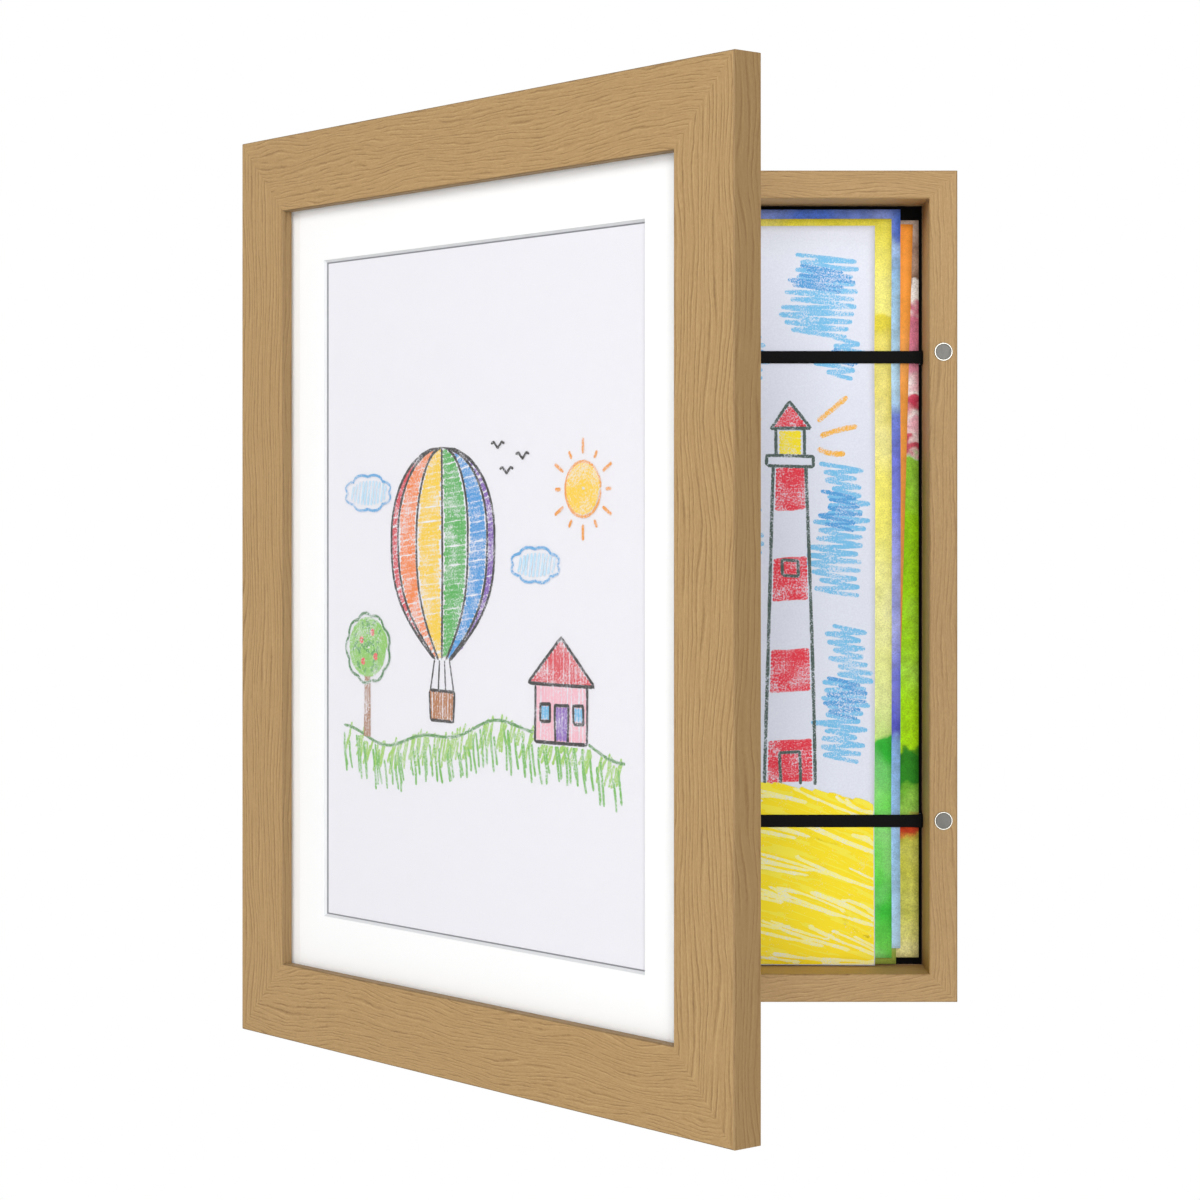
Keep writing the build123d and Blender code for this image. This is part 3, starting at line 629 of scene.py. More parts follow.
# %% [markdown]
# ## Stored sheets
#
# Six sheets of A4 lean in the well. Paper held by two straps isn't flat: it lies tight under the straps
# and lifts a little between them and at its edges, and that lift is what draws the soft shadow beside
# each edge. The lift is a formula of the place in the well, the same for all sheets but larger for those
# in front, so no sheet cuts through the next.

# %% Places and lift of the sheets
sheet_count = 6
paper_gauge = 0.28 * MM
front_lift = 3.4 * MM
strap_grip = 26 * MM
wave_length = 41 * MM
sheet_rows, sheet_columns = 110, 64
strap_heights = [sum(corner.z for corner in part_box(f"{end}_strap")) / 2 for end in ("upper", "lower")]
well_middle = (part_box("back_lining")[0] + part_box("back_lining")[1]) / 2
well_half = (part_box("back_lining")[1].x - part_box("back_lining")[0].x) / 2


def sheet_lift(number, x, z):
    """Lift = share of the stack behind * side curve * strap hold. The side curve is 0.25 + 0.75 s^2 with
    s the place from middle to side, and the hold falls to 0 at each strap as 1 - exp(-(d / grip)^2)."""
    behind = (sheet_count - number) / (sheet_count - 1)
    side = 0.25 + 0.75 * ((x - well_middle.x) / well_half) ** 2
    wave = 1 + 0.25 * np.sin((z - well_middle.z) / wave_length + 0.7) * np.sign(x - well_middle.x)
    hold = 1.0
    for height in strap_heights:
        hold = hold * (1 - np.exp(-(((z - height) / strap_grip) ** 2)))
    return front_lift * behind * side * wave * hold


print("Straps at", [round(height / MM, 1) for height in strap_heights], "mm")


# %% Points on a sheet
def sheet_directions(name):
    """Middle of a sheet, its width and height directions and half sizes, from its corner points. The
    height direction is the long axis of the corners, found as their main eigenvector."""
    flat = corners(name)[:, [0, 2]]
    middle = (flat.max(0) + flat.min(0)) / 2
    long_axis = np.linalg.eigh(np.cov((flat - middle).T))[1][:, 1]
    up = long_axis * np.sign(long_axis[1])
    side = np.array([up[1], -up[0]])
    local = (flat - middle) @ np.stack([side, up]).T
    return middle, side, up, local.max(0)


sheet_frames = {n: sheet_directions(f"stored_sheet_{n}") for n in range(1, sheet_count + 1)}


def on_sheet(number, u, v, height=0.0):
    """Points on a stored sheet's face, from distances right of and above its middle, and height off it."""
    middle, side, up, _ = sheet_frames[number]
    x, z = (middle[k] + side[k] * u + up[k] * v for k in (0, 1))
    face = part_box(f"stored_sheet_{number}")[0].y
    return joined(x, face - sheet_lift(number, x, z) - height, z)


print("Half sizes of the front sheet in mm:", [round(half / MM, 1) for half in sheet_frames[1][3]])

# %% [markdown]
# ## Paint on paper
#
# The stored sheets show mostly as edges, each in its own colours. A watercolour wash is a ramp of
# pigment up the sheet. Its borders wander and are broken up by drops, some soft and some with the hard
# rim of a dried wash. Water that pooled leaves pale blooms, and pigment gathers in the paper's tooth.
# The back and the cut edge stay plain paper, so every sheet has a thin light rim.

# %% Watercolour
# To a millimetre, how many places there are where the brush drifted, where it dripped, where water
# pooled and where pigment settled. Each place is about 18, 7, 36 or 5 mm wide.
drift_rate, drop_rate, pool_rate, settling_rate = 0.055 / MM, 0.150 / MM, 0.028 / MM, 0.190 / MM


def wash(name, number, stops, wander=0.05, bloom=0.30, grain=0.17, mottle=0.16, blots=0.02):
    """Watercolour: a ramp up the sheet from 0 to 1, its borders moved by wander and broken up by blots,
    lightened in blooms and darkened where pigment settled, by mottle. Two stops close together are the
    hard rim of a dried wash."""
    low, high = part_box(f"stored_sheet_{number}")
    material, tree, shader = blank_material(name, Roughness=0.8, Specular_IOR_Level=0.25)
    where = add(tree, "TexCoord").outputs["Object"]
    place = add(tree, "Mapping", {"Vector": where, "Location": (0.1 * number, 0, 0)})
    height = add(tree, "SeparateXYZ", {0: where}).outputs["Z"]
    share = add(tree, "MapRange", {"Value": height, "From Min": low.z, "From Max": high.z})
    for rate, detail, weight in ((drift_rate, 4.0, wander), (drop_rate, 1.5, blots)):
        noise = add(tree, "TexNoise", {"Vector": place, "Scale": rate, "Detail": detail})
        share = weighted(tree, share, noise, weight)
    colour = set_ramp(add(tree, "ValToRGB", {0: share}), stops)

    pools = add(tree, "TexNoise", {"Vector": place, "Scale": pool_rate, "Detail": 3.0})
    pale = add(tree, "MapRange", {"Value": pools, "From Min": 0.5, "From Max": 0.75, "To Max": bloom})
    softened = add(tree, "Mix", {0: pale, 6: colour, 7: linear("FBFAF2")}, data_type="RGBA")

    tooth = tooth_bump(tree, shader, 0.5 * MM, 0.06 * MM, 0.8)
    rough = {"Scale": settling_rate, "Detail": 5.0, "Roughness": 0.65}
    patches = add(tree, "TexNoise", {"Vector": place, **rough})
    by_tooth = {"From Max": 0.65, "To Min": 1 - grain, "To Max": 1 + grain / 2}
    by_patch = {"From Max": 0.62, "To Min": 1 - mottle, "To Max": 1.0}
    gathered, settled = (
        add(tree, "MapRange", {"Value": noise, "From Min": 0.35, **ends})
        for noise, ends in ((tooth, by_tooth), (patches, by_patch))
    )
    pigment = add(tree, "Math", {0: gathered, 1: settled}, operation="MULTIPLY")
    painted = add(tree, "VectorMath", {0: softened.outputs[2], "Scale": pigment}, operation="SCALE")
    feed(shader, {"Base Color": painted})
    return material


# %% Colours of the stored sheets
cut_edge = fibre_board("cut_paper_edge", "F6F0DA", "FFFBEA", 0.5 * MM, 0.85)
crayon_paper_colour = "E2E7F4"
yellow_to_green = [
    (0.0, "74DC58"), (0.06, "3CC43C"), (0.11, "6CDE58"), (0.22, "78E460"), (0.255, "4CCC48"),
    (0.275, "2EB434"), (0.293, "40C040"), (0.299, "CCEC88"), (0.34, "ECF6A6"), (0.6, "FFF878"),
    (0.70, "FBF37C"), (0.76, "EFE24C"), (0.862, "F0E24C"), (0.868, "FCF88C"), (0.92, "FBF68A"),
    (1.0, "EADF40"),
]
blues = [
    (0.0, "C0E4FF"), (0.12, "A8D6FF"), (0.275, "94C0FA"), (0.283, "5458D4"), (0.36, "7078E6"),
    (0.44, "AAB2F8"), (0.55, "949CFA"), (0.66, "7C86EC"), (0.72, "7C90EE"), (0.738, "B0D6F8"),
    (0.78, "BCE2FA"), (0.9, "A4D2F8"), (0.958, "90BAF4"), (0.966, "4E76E2"), (1.0, "5880E6"),
]
olives = [(0.0, "9CB048"), (0.2, "ABBE5C"), (0.6, "86A444"), (1.0, "95B04E")]
oranges = [(0.0, "F09C48"), (0.8, "F4A44A"), (1.0, "F89A32")]
olive_green_pink_brown = [
    (0.0, "EDE8A0"), (0.07, "D2D45A"), (0.158, "C8C83C"), (0.164, "DC8A28"), (0.170, "C83C12"),
    (0.188, "D84414"), (0.194, "A8DC5C"), (0.235, "74BC34"), (0.242, "2E8C1E"), (0.272, "2E8C1E"),
    (0.279, "B4EE0C"), (0.686, "8ECC04"), (0.690, "FAF6F0"), (0.693, "D23A58"), (0.703, "D23A58"),
    (0.708, "F8E4E4"), (0.724, "F0A8BC"), (0.736, "FAF4F2"), (0.748, "CC2E50"), (0.762, "D84866"),
    (0.768, "FAF4F2"), (0.790, "E694AA"), (0.884, "E07C98"), (0.891, "FAF6F3"), (0.911, "F8F6F4"),
    (0.917, "8A6A58"), (0.935, "B89C8A"), (0.97, "A48472"), (1.0, "C2AC9E"),
]
sheet_finishes = {
    "crayon_paper": fibre_board("crayon_drawing_paper", "DEE3F1", "E5EAF7", 0.7 * MM, 0.85),
    "yellow_paper": wash("yellow_to_green_wash", 2, yellow_to_green, blots=0.04),
    "blue_paper": wash("blue_wash", 3, blues, mottle=0.3),
    "olive_paper": wash("olive_wash", 4, olives),
    "orange_paper": wash("orange_sugar_paper", 5, oranges, 0.05, 0.08, 0.10),
    "mottled_paper": wash("mottled_wash", 6, olive_green_pink_brown, 0.055, 0.12, 0.22, 0.28, 0.06),
}
print("Paints:", ", ".join(material.name for material in sheet_finishes.values()))

# %% Sheets
for number, (slot_name, material) in enumerate(sheet_finishes.items(), 1):
    half = sheet_frames[number][3]
    across = np.linspace(-half[0], half[0], sheet_columns)
    upward = np.linspace(-half[1], half[1], sheet_rows)
    u, v = np.meshgrid(across, upward, indexing="ij")
    faces = grid_faces(sheet_columns, sheet_rows).tolist()
    sheet = finished(f"paper_{number}", on_sheet(number, u, v), faces, "box", slot_name, material, cut_edge)
    gauge = sheet.modifiers.new("gauge", "SOLIDIFY")
    gauge.thickness = paper_gauge
    gauge.offset = -1
    gauge.material_offset = 1
    gauge.material_offset_rim = 1
    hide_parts(f"stored_sheet_{number}")

# %% [markdown]
# ## Crayon
#
# A crayon stroke is a low ridge of wax with a ragged edge and round ends, broken where the paper's tooth
# stays bare. Each stroke here is a real ridge: a line of points with a width, a low crown along its
# middle and a flat underside. All strokes of a group are worked out at once, as an array of strokes by
# samples. The shader then breaks the wax up by noise at the scale of the tooth, and reads the stroke's
# colour from a colour attribute, so one drawing is one mesh.

# %% Lines for the crayon
def passes(starts, ends, bow=0.0, samples=18):
    """Straight passes of the crayon from starts to ends, bowed sideways by bow * sin(pi t). The samples
    stand closer at both ends, by a cosine, so that the ends can be round."""
    starts, ends = np.atleast_2d(starts).astype(float), np.atleast_2d(ends).astype(float)
    t = (1 - np.cos(np.linspace(0, np.pi, samples))) / 2
    lines = starts[:, None] + (ends - starts)[:, None] * t[None, :, None]
    bows = bow * chance.uniform(-1, 1, len(starts))
    return lines + sideways(ends - starts)[:, None] * (bows[:, None] * np.sin(np.pi * t))[..., None]


def zigzag(starts, ends, bow=0.4, samples=14):
    """Passes that run out from each start to its end and back to the next start, as a crayon rubs."""
    turns = np.stack([starts, ends], axis=1).reshape(-1, 2)
    return passes(turns[:-1], turns[1:], bow, samples)


def wobbled(lines, amount):
    """Lines with a hand's wobble: two slow sines of random phase added to each, across and along."""
    count, samples, _ = lines.shape
    t = np.linspace(0, 2 * np.pi, samples)
    phase = chance.uniform(0, 2 * np.pi, (count, 1, 2))
    pace = chance.uniform(0.7, 1.6, (count, 1, 2))
    return lines + amount * np.sin(t[None, :, None] * pace + phase)


def distances(lines):
    """How far along its line each point lies: the lengths of the pieces before it, added up."""
    pieces = np.linalg.norm(np.diff(lines, axis=-2), axis=-1)
    return np.concatenate([np.zeros_like(pieces[..., :1]), np.cumsum(pieces, axis=-1)], axis=-1)


# %% Ridges of wax
wax_crown = 0.015 * MM
group_step = 0.006 * MM
ragged_share = 0.12
blunt_end = 0.05
INK, SLATE, SAND, SAND_PALE = "211D1B", "41554F", "FAE200", "F9E93C"
# A colour pressed harder fills more of the paper's tooth.
hard_press = {INK: 0.05, SLATE: 0.04, SAND: 0.14, SAND_PALE: 0.18}


def ridges(groups, place):
    """Points, faces, colours, stroke sides and pressures of all groups. A group is lines in millimetres,
    a width in millimetres and a hex colour. At a distance d from an end the half width h becomes
    sqrt(h^2 - (h - d)^2) up to d = h, which is a round end, and it is made ragged all along."""
    points, faces, colours, strips, pressures = [], [], [], [], []
    total = 0
    for order, (lines, width, colour) in enumerate(groups, 1):
        lines = lines * MM
        count, samples, _ = lines.shape
        gone = distances(lines)
        from_end = np.minimum(gone, gone[:, -1:] - gone) / (width / 2 * MM)
        rounded = np.sqrt(np.clip(1 - (1 - np.clip(from_end, 0, 1)) ** 2, blunt_end**2, 1))
        ragged = 1 + ragged_share * chance.uniform(-1, 1, (count, samples))
        half = sideways(np.gradient(lines, axis=1)) * (width / 2 * MM * rounded * ragged)[..., None]
        rows = np.stack([lines - half, lines, lines + half], axis=2)
        base = group_step * order
        heights = joined(base, base + wax_crown * rounded, base)
        points.append(place(rows[..., 0], rows[..., 1], heights).reshape(-1, 3))

        firsts = total + np.arange(count)[:, None] * samples * 3
        ring = grid_faces(samples, 3, wrap_columns=True)
        faces += (ring[None] + firsts[..., None]).reshape(-1, 4).tolist()
        faces += (firsts + [0, 1, 2]).tolist()
        faces += (firsts + (samples - 1) * 3 + [2, 1, 0]).tolist()
        vertices = count * samples * 3
        colours.append(np.tile(linear(colour), (vertices, 1)))
        strips.append(np.tile([-1.0, 0.0, 1.0], vertices // 3))
        pressures.append(np.full(vertices, hard_press.get(colour, 0.0)))
        total += vertices
    return np.concatenate(points), faces, *(np.concatenate(part) for part in (colours, strips, pressures))


def drawing(name, groups, place, body, slot_name, material):
    """A drawing as one piece, with its wax colours, stroke sides and pressures as attributes."""
    points, faces, colours, strips, pressures = ridges(groups, place)
    piece = finished(name, points, faces, body, slot_name, material, smooth=False)
    wax = piece.data.color_attributes.new("wax_colour", "FLOAT_COLOR", "POINT")
    wax.data.foreach_set("color", colours.ravel())
    for attribute_name, values in (("stroke_side", strips), ("wax_pressure", pressures)):
        piece.data.attributes.new(attribute_name, "FLOAT", "POINT").data.foreach_set("value", values)


# %% [markdown]
# ## Wax on paper
#
# Wax catches on the raised fibres of the paper and leaves its pits bare, so a stroke is full of specks.
# They could be holes in the mesh, but that would take far too many faces. Noise at the scale of the
# tooth mixes the wax's colour with the paper's instead. Wax is smoother than paper and shines a little.

# %% Wax crayon
# How many pits of the paper's tooth, and how many changes of the hand's pressure, there are to a
# millimetre. The tooth is finer on real paper, and is drawn as coarse as it needs to be to show.
tooth_rate, hand_rate = 1.9 / MM, 0.13 / MM


def wax_on(paper_colour, name):
    """Wax crayon: its colour where the tooth holds wax, the paper's colour where it stays bare. The wax
    is thinner at a stroke's sides, by the square of the place across, and where the hand pressed less."""
    material, tree, shader = blank_material(name, Roughness=0.55, Specular_IOR_Level=0.25)
    where = add(tree, "TexCoord").outputs["Object"]
    edge, pressure = (
        add(tree, "Attribute", attribute_name=attribute_name).outputs["Fac"]
        for attribute_name in ("stroke_side", "wax_pressure")
    )
    fine = {"Scale": tooth_rate, "Detail": 3.0, "Roughness": 0.65}
    tooth = add(tree, "TexNoise", {"Vector": where, **fine})
    press = add(tree, "TexNoise", {"Vector": where, "Scale": hand_rate, "Detail": 1.0})
    held = weighted(tree, tooth, press, 0.35)
    rim = add(tree, "Math", {0: edge, 1: edge}, operation="MULTIPLY")
    held = add(tree, "Math", {0: rim, 1: -0.10, 2: held}, operation="MULTIPLY_ADD")
    held = add(tree, "Math", {0: held, 1: pressure}, operation="ADD")
    cover = add(tree, "MapRange", {"Value": held, "From Min": 0.32, "From Max": 0.50, "To Min": 0.15})
    wax = add(tree, "Attribute", attribute_name="wax_colour").outputs["Color"]
    colour = add(tree, "Mix", {0: cover, 6: linear(paper_colour), 7: wax}, data_type="RGBA")
    bump = add(tree, "Bump", {"Height": tooth, "Distance": 0.05 * MM, "Strength": 0.4})
    feed(shader, {"Base Color": colour.outputs[2], "Normal": bump})
    return material


picture_wax = wax_on("EAE9F0", "wax_crayon_on_picture_paper")
stored_wax = wax_on(crayon_paper_colour, "wax_crayon_on_stored_paper")
print("Wax finishes:", picture_wax.name, stored_wax.name)

# %% [markdown]
# ## The picture on show
#
# The door shows a child's crayon picture: a striped balloon over a hill with a cottage and a tree. The
# outlines are thin and near-black, and the colours are laid in beside them in quick passes. Every shape
# is a formula or a few points in millimetres from the middle of the mat's window. Each group of strokes
# joins a list as its lines, its width and its colour.

# %% Curves for the picture
def circle(a):
    """Points of a circle of radius 1 at these angles: (cos a, sin a)."""
    return joined(np.cos(a), np.sin(a))


def ring_path(centre, radii, turn=(0, 360), bumps=0, bump_size=0.0, samples=60):
    """An ellipse or part of one: centre + radii * (cos a, sin a) * (1 + size * |sin(bumps a / 2)|)."""
    a = np.radians(np.linspace(*turn, samples))
    swell = 1 + bump_size * np.abs(np.sin(bumps * a / 2))
    return (centre + np.array(radii) * circle(a) * swell[:, None])[None]


def coil(centre, radii, inner, turns, samples):
    """A coil from an ellipse's rim to this share of it: centre + radii * share * (cos a, sin a)."""
    reach = np.linspace(1, inner, samples)[:, None]
    return (centre + np.array(radii) * reach * circle(np.linspace(0, 2 * np.pi * turns, samples)))[None]


def bent_line(corner_points, samples=40):
    """A line through points, with points spread evenly along its length."""
    corner_points = np.array(corner_points, float)
    gone = distances(corner_points)
    t = np.linspace(0, gone[-1], samples)
    return joined(*(np.interp(t, gone, part) for part in corner_points.T))[None]


def filled(lower, upper, first, last, step, lean=0.0, jitter=0.6):
    """Passes from a lower to an upper border, both functions of u, every step from first to last."""
    u = np.arange(first, last, step)
    shake = chance.uniform(-jitter, jitter, (3, len(u)))
    return joined(u + shake[0], lower(u) + shake[1]), joined(u + lean + shake[0], upper(u + lean) + shake[2])


# %% Balloon
RAINBOW = ("D6303F", "F0802E", "F4CB22", "48AC48", "3592D6", "7E52B2")
# Width in mm and colour of the thin lines round each shape.
OUTLINE = (1.25, INK)
balloon_centre = np.array([-20.0, 25.0])
balloon_radius = 31.0
mouth_drop, mouth_half = 46.0, 4.5
seams = np.sin(np.linspace(-np.pi / 2, np.pi / 2, 7))


def balloon_half(y):
    """Half width: a circle above the middle, and below it the circle's width narrowed to the mouth."""
    round_part = np.sqrt(np.clip(balloon_radius**2 - np.clip(y, 0, None) ** 2, 0, None))
    fall = np.clip(-y / mouth_drop, 0, 1)
    narrowed = mouth_half + (balloon_radius - mouth_half) * np.cos(np.pi / 2 * fall**1.5)
    return np.where(y >= 0, round_part, narrowed)


picture = []
heights = np.arange(-mouth_drop + 1.5, balloon_radius - 1.0, 1.75)
slope = 1.2
for colour, left, right in zip(RAINBOW, seams, seams[1:]):
    starts = joined(left * balloon_half(heights), heights)
    ends = joined(right * balloon_half(heights + slope), heights + slope)
    uneven = chance.uniform(0.02, 0.12, (2, len(heights), 1)) * (ends - starts)
    picture.append((balloon_centre + passes(starts + uneven[0], ends - uneven[1], 0.5, 14), 1.95, colour))
seam_heights = np.linspace(-mouth_drop, balloon_radius, 90)
for seam in seams:
    line = joined(seam * balloon_half(seam_heights), seam_heights)[None]
    picture.append((balloon_centre + wobbled(line, 0.18), *OUTLINE))

basket_top, basket_foot, basket_half = -57.0, -68.0, 7.0
rope_tops = joined([-mouth_half, mouth_half, -1.5, 1.5], -mouth_drop)
rope_ends = joined([-basket_half, basket_half, -2.2, 2.2], basket_top)
picture.append((balloon_centre + passes(rope_tops, rope_ends), 0.9, INK))
weave_u = np.arange(-basket_half + 0.8, basket_half, 1.5)
weave = passes(joined(weave_u, basket_foot), joined(weave_u * 1.08, basket_top), 0.3)
picture.append((balloon_centre + weave, 1.4, "B06D30"))
rim = bent_line([(-7.4, -57), (7.4, -57), (6.6, -68), (-6.6, -68), (-7.4, -57)])
picture.append((balloon_centre + wobbled(rim, 0.2), *OUTLINE))
print("Strokes in the balloon:", sum(len(lines) for lines, width, colour in picture))

# %% Hill and cottage
wall_left, wall_right, wall_foot, eaves, ridge = 34.0, 62.0, -47.0, -27.0, -11.0
roof_middle = (wall_left + wall_right) / 2
roof_slope = (ridge - eaves) / (roof_middle - wall_left + 4)


def hill(u):
    """The hill's top: two sines added."""
    return -47.0 + 5.0 * np.sin(u / 24.0 + 0.6) + 1.6 * np.sin(u / 7.0)


for colour, step, lean, depth, drop in (("9CCB5A", 1.5, 3.0, 9.0, 0.0), ("6FB64E", 2.6, -2.0, 12.0, 4.0)):
    grass_borders = (lambda u: hill(u) - depth - drop), (lambda u: hill(u) - drop)
    starts, ends = filled(*grass_borders, -80, 80, step, lean, 2.6)
    behind = (starts[:, 0] > wall_left - 3) & (starts[:, 0] < wall_right + 3)
    ends[behind, 1] = np.minimum(ends[behind, 1], wall_foot - 1.2)
    picture.append((passes(starts, ends, 0.8, 12), 1.25, colour))
for span in ((-82, wall_left - 0.8), (wall_right + 0.8, 82)):
    u = np.linspace(*span, 110)
    picture.append((joined(u, hill(u))[None], 1.2, "4E8F3C"))

wall_borders = (lambda u: wall_foot), (lambda u: eaves)
wall_fill = filled(*wall_borders, wall_left + 1, wall_right, 1.6, 0.0, 0.5)
picture.append((passes(*wall_fill, 0.4, 14), 1.7, "F1B6C4"))
roof_borders = (lambda u: eaves), (lambda u: ridge - roof_slope * np.abs(u - roof_middle) - 0.6)
roof_fill = filled(*roof_borders, wall_left - 3, wall_right + 4, 1.5, 0.0, 0.4)
picture.append((passes(*roof_fill, 0.4, 14), 1.7, "D9434E"))
door_u, pane_u = (46.2, 47.9, 49.6, 51), (38, 39.6, 41.2, 56, 57.6, 59.2)
picture.append((passes(joined(door_u, -46.4), joined(door_u, -34.6)), 1.7, "8A63B8"))
picture.append((passes(joined(pane_u, -39.4), joined(pane_u, -34.6)), 1.6, "6DB8E2"))
cottage_lines = [
    [(wall_left, eaves), (wall_left, wall_foot), (wall_right, wall_foot), (wall_right, eaves)],
    [(wall_left - 4, eaves), (roof_middle, ridge), (wall_right + 4, eaves), (wall_left - 4, eaves)],
    [(45, wall_foot), (45, -34), (52, -34), (52, wall_foot)],
    [(37, -40), (37, -34), (42, -34), (42, -40), (37, -40)],
    [(55, -40), (55, -34), (60, -34), (60, -40), (55, -40)],
]
for line in cottage_lines:
    picture.append((wobbled(bent_line(line, 60), 0.2), *OUTLINE))
print("Strokes with hill and cottage:", sum(len(lines) for lines, width, colour in picture))

# %% Tree, sun, clouds and birds
tree_foot, tree_fork, leaf_count = float(hill(-66.0)), -27.0, 46
leaf_centre = (-66.0, -18.0)
trunk = passes(joined([-68, -66.4, -64.9], tree_foot), joined([-67.4, -66.3, -65.2], tree_fork))
picture.append((trunk, 1.5, "A0683A"))
picture.append((coil(leaf_centre, (12.0, 11.0), 0.05, 7, 240), 2.0, "86C455"))
leaf_turns = chance.uniform(0, 2 * np.pi, leaf_count)
leaf_reach = np.sqrt(chance.uniform(0, 0.8, leaf_count))
leaf_spots = leaf_centre + circle(leaf_turns) * leaf_reach[:, None] * np.array([11.0, 10.0])
leaf_dashes = passes(leaf_spots, leaf_spots + chance.uniform(-3, 3, (leaf_count, 2)), 0.6, 8)
picture.append((leaf_dashes, 1.2, "4C9A40"))
picture.append((ring_path(leaf_centre, (13.0, 12.0), (-80, 280), 9, 0.10, 120), 1.2, "357835"))
for apple in ((-70, -15), (-63, -12), (-61, -21), (-69, -23)):
    picture.append((ring_path(apple, (0.8, 0.8), samples=14), 1.3, "E2574C"))

sun_centre, sun_radius = (60.0, 40.0), 9.0
picture.append((coil(sun_centre, (sun_radius, sun_radius), 0.6 / sun_radius, 6, 170), 1.8, "F6CC33"))
picture.append((ring_path(sun_centre, (9.4, 9.4)), 1.1, "EE9A2E"))
ray_directions = circle(np.radians(np.arange(0, 360, 30)))
ray_lengths = np.where(np.arange(12) % 2, 17.5, 15.0)[:, None]
rays = passes(sun_centre + 12 * ray_directions, sun_centre + ray_lengths * ray_directions)
picture.append((rays, 1.3, "EE9A2E"))

for centre, radii in (((-66, 40), (13, 6)), ((34, 14), (12, 5.5))):
    u = np.arange(-radii[0] + 2.5, radii[0] - 1, 2.1)
    reach = 0.78 * radii[1] * np.sqrt(1 - (u / radii[0]) ** 2)
    cloud = passes(centre + joined(u, -reach), centre + joined(u + 1.5, reach), 0.5, 12)
    picture.append((cloud, 1.3, "B9DDF2"))
    picture.append((ring_path(centre, radii, (0, 360), 8, 0.16, 110), 1.1, "5AA5DA"))
for bird in ((18, 46), (27, 51), (13, 55)):
    wings = np.array([(-4, 1.6), (-2.2, 2.2), (0, 0), (2.2, 2.2), (4, 1.6)]) + bird
    picture.append((bent_line(wings, 24), 1.0, INK))
print("Strokes in the picture:", sum(len(lines) for lines, width, colour in picture))

# %% The picture on its paper
window_middle = np.mean(extent("mat_board", door_axes), axis=0)
picture_front = extent("display_sheet", door_axes)[1][2]
picture_drop = -4.0 * MM


def on_picture(u, v, height):
    """Points in front of the picture's paper, from distances in the mat's window and height off it."""
    places = joined(window_middle[0] + u, window_middle[1] + picture_drop + v, picture_front + height)
    return placed(places, door_axes)


drawing("picture_on_show", picture, on_picture, "door", "display_paper", picture_wax)

# %% [markdown]
# ## The front stored drawing
#
# Only the right strip of this sheet shows past the door, so its main shape stands there: a lighthouse
# with red bands on a yellow hill, with the sky scribbled in blue. The rest of the sheet holds a boat on
# the sea, for whoever opens the door wide.

# %% Sky and sea
SKY, DEEP_SKY, RED, YELLOW = "72BEEA", "4B9EDC", "E62C40", "FAE400"
stored = []


def scribble(centre, size, count, lean, swing=3.0):
    """A scribbled patch: one stroke out and back across a patch of this size, its ends uneven."""
    t = np.linspace(0.5, -0.5, count)
    uneven = chance.uniform(-swing, swing, (2, count))
    starts = joined(-size[0] / 2 + uneven[0] + 3 * np.sin(6 * t), size[1] * t)
    ends = joined(size[0] / 2 + uneven[1] * 0.7 + 2 * np.sin(5 * t + 1), size[1] * t - lean)
    return zigzag(starts, ends) + np.array(centre)


sky_patches = [
    ((84, 122), (26, 30), 11, 3),
    ((92, 97), (14, 14), 5, 3),
    ((91, 28), (17, 50), 16, 3),
    ((50, 96), (20, 26), 9, 2),
    ((50, 22), (14, 44), 14, 3),
    ((93, -38), (16, 52), 17, 3),
    ((-20, 118), (80, 26), 9, 4),
    ((-78, 70), (40, 34), 11, 3),
    ((-10, 62), (50, 26), 9, 4),
]
for (u, v), (width, height), count, lean in sky_patches:
    stored.append((scribble((u, v), (width, height), count, lean), 1.8, SKY))
    pressed_v = v + height * chance.uniform(-0.3, 0.3)
    pressed = scribble((u, pressed_v), (width * 0.8, height * 0.26), 5, lean, 2.0)
    stored.append((pressed, 1.7, DEEP_SKY))
for sea_patch in (((-30, -40), (120, 18), 9, 2), ((-30, -66), (130, 16), 8, 1)):
    stored.append((scribble(*sea_patch), 2.0, DEEP_SKY))
print("Strokes in sky and sea:", sum(len(lines) for lines, width, colour in stored))

# %% Lighthouse
tower_u, tower_foot, tower_top = 71.0, -76.0, 52.0
foot_half, top_half = 10.0, 6.5


def tower_half(v):
    """Half width of the tower: it narrows evenly from foot to top."""
    return foot_half + (top_half - foot_half) * (v - tower_foot) / (tower_top - tower_foot)


def hatched(middle, half, rows, rise=0.0):
    """A stroke out and back over rows from middle - half to middle + half, where it is higher by rise."""
    return zigzag(joined(middle - half, rows), joined(middle + half, rows + rise))


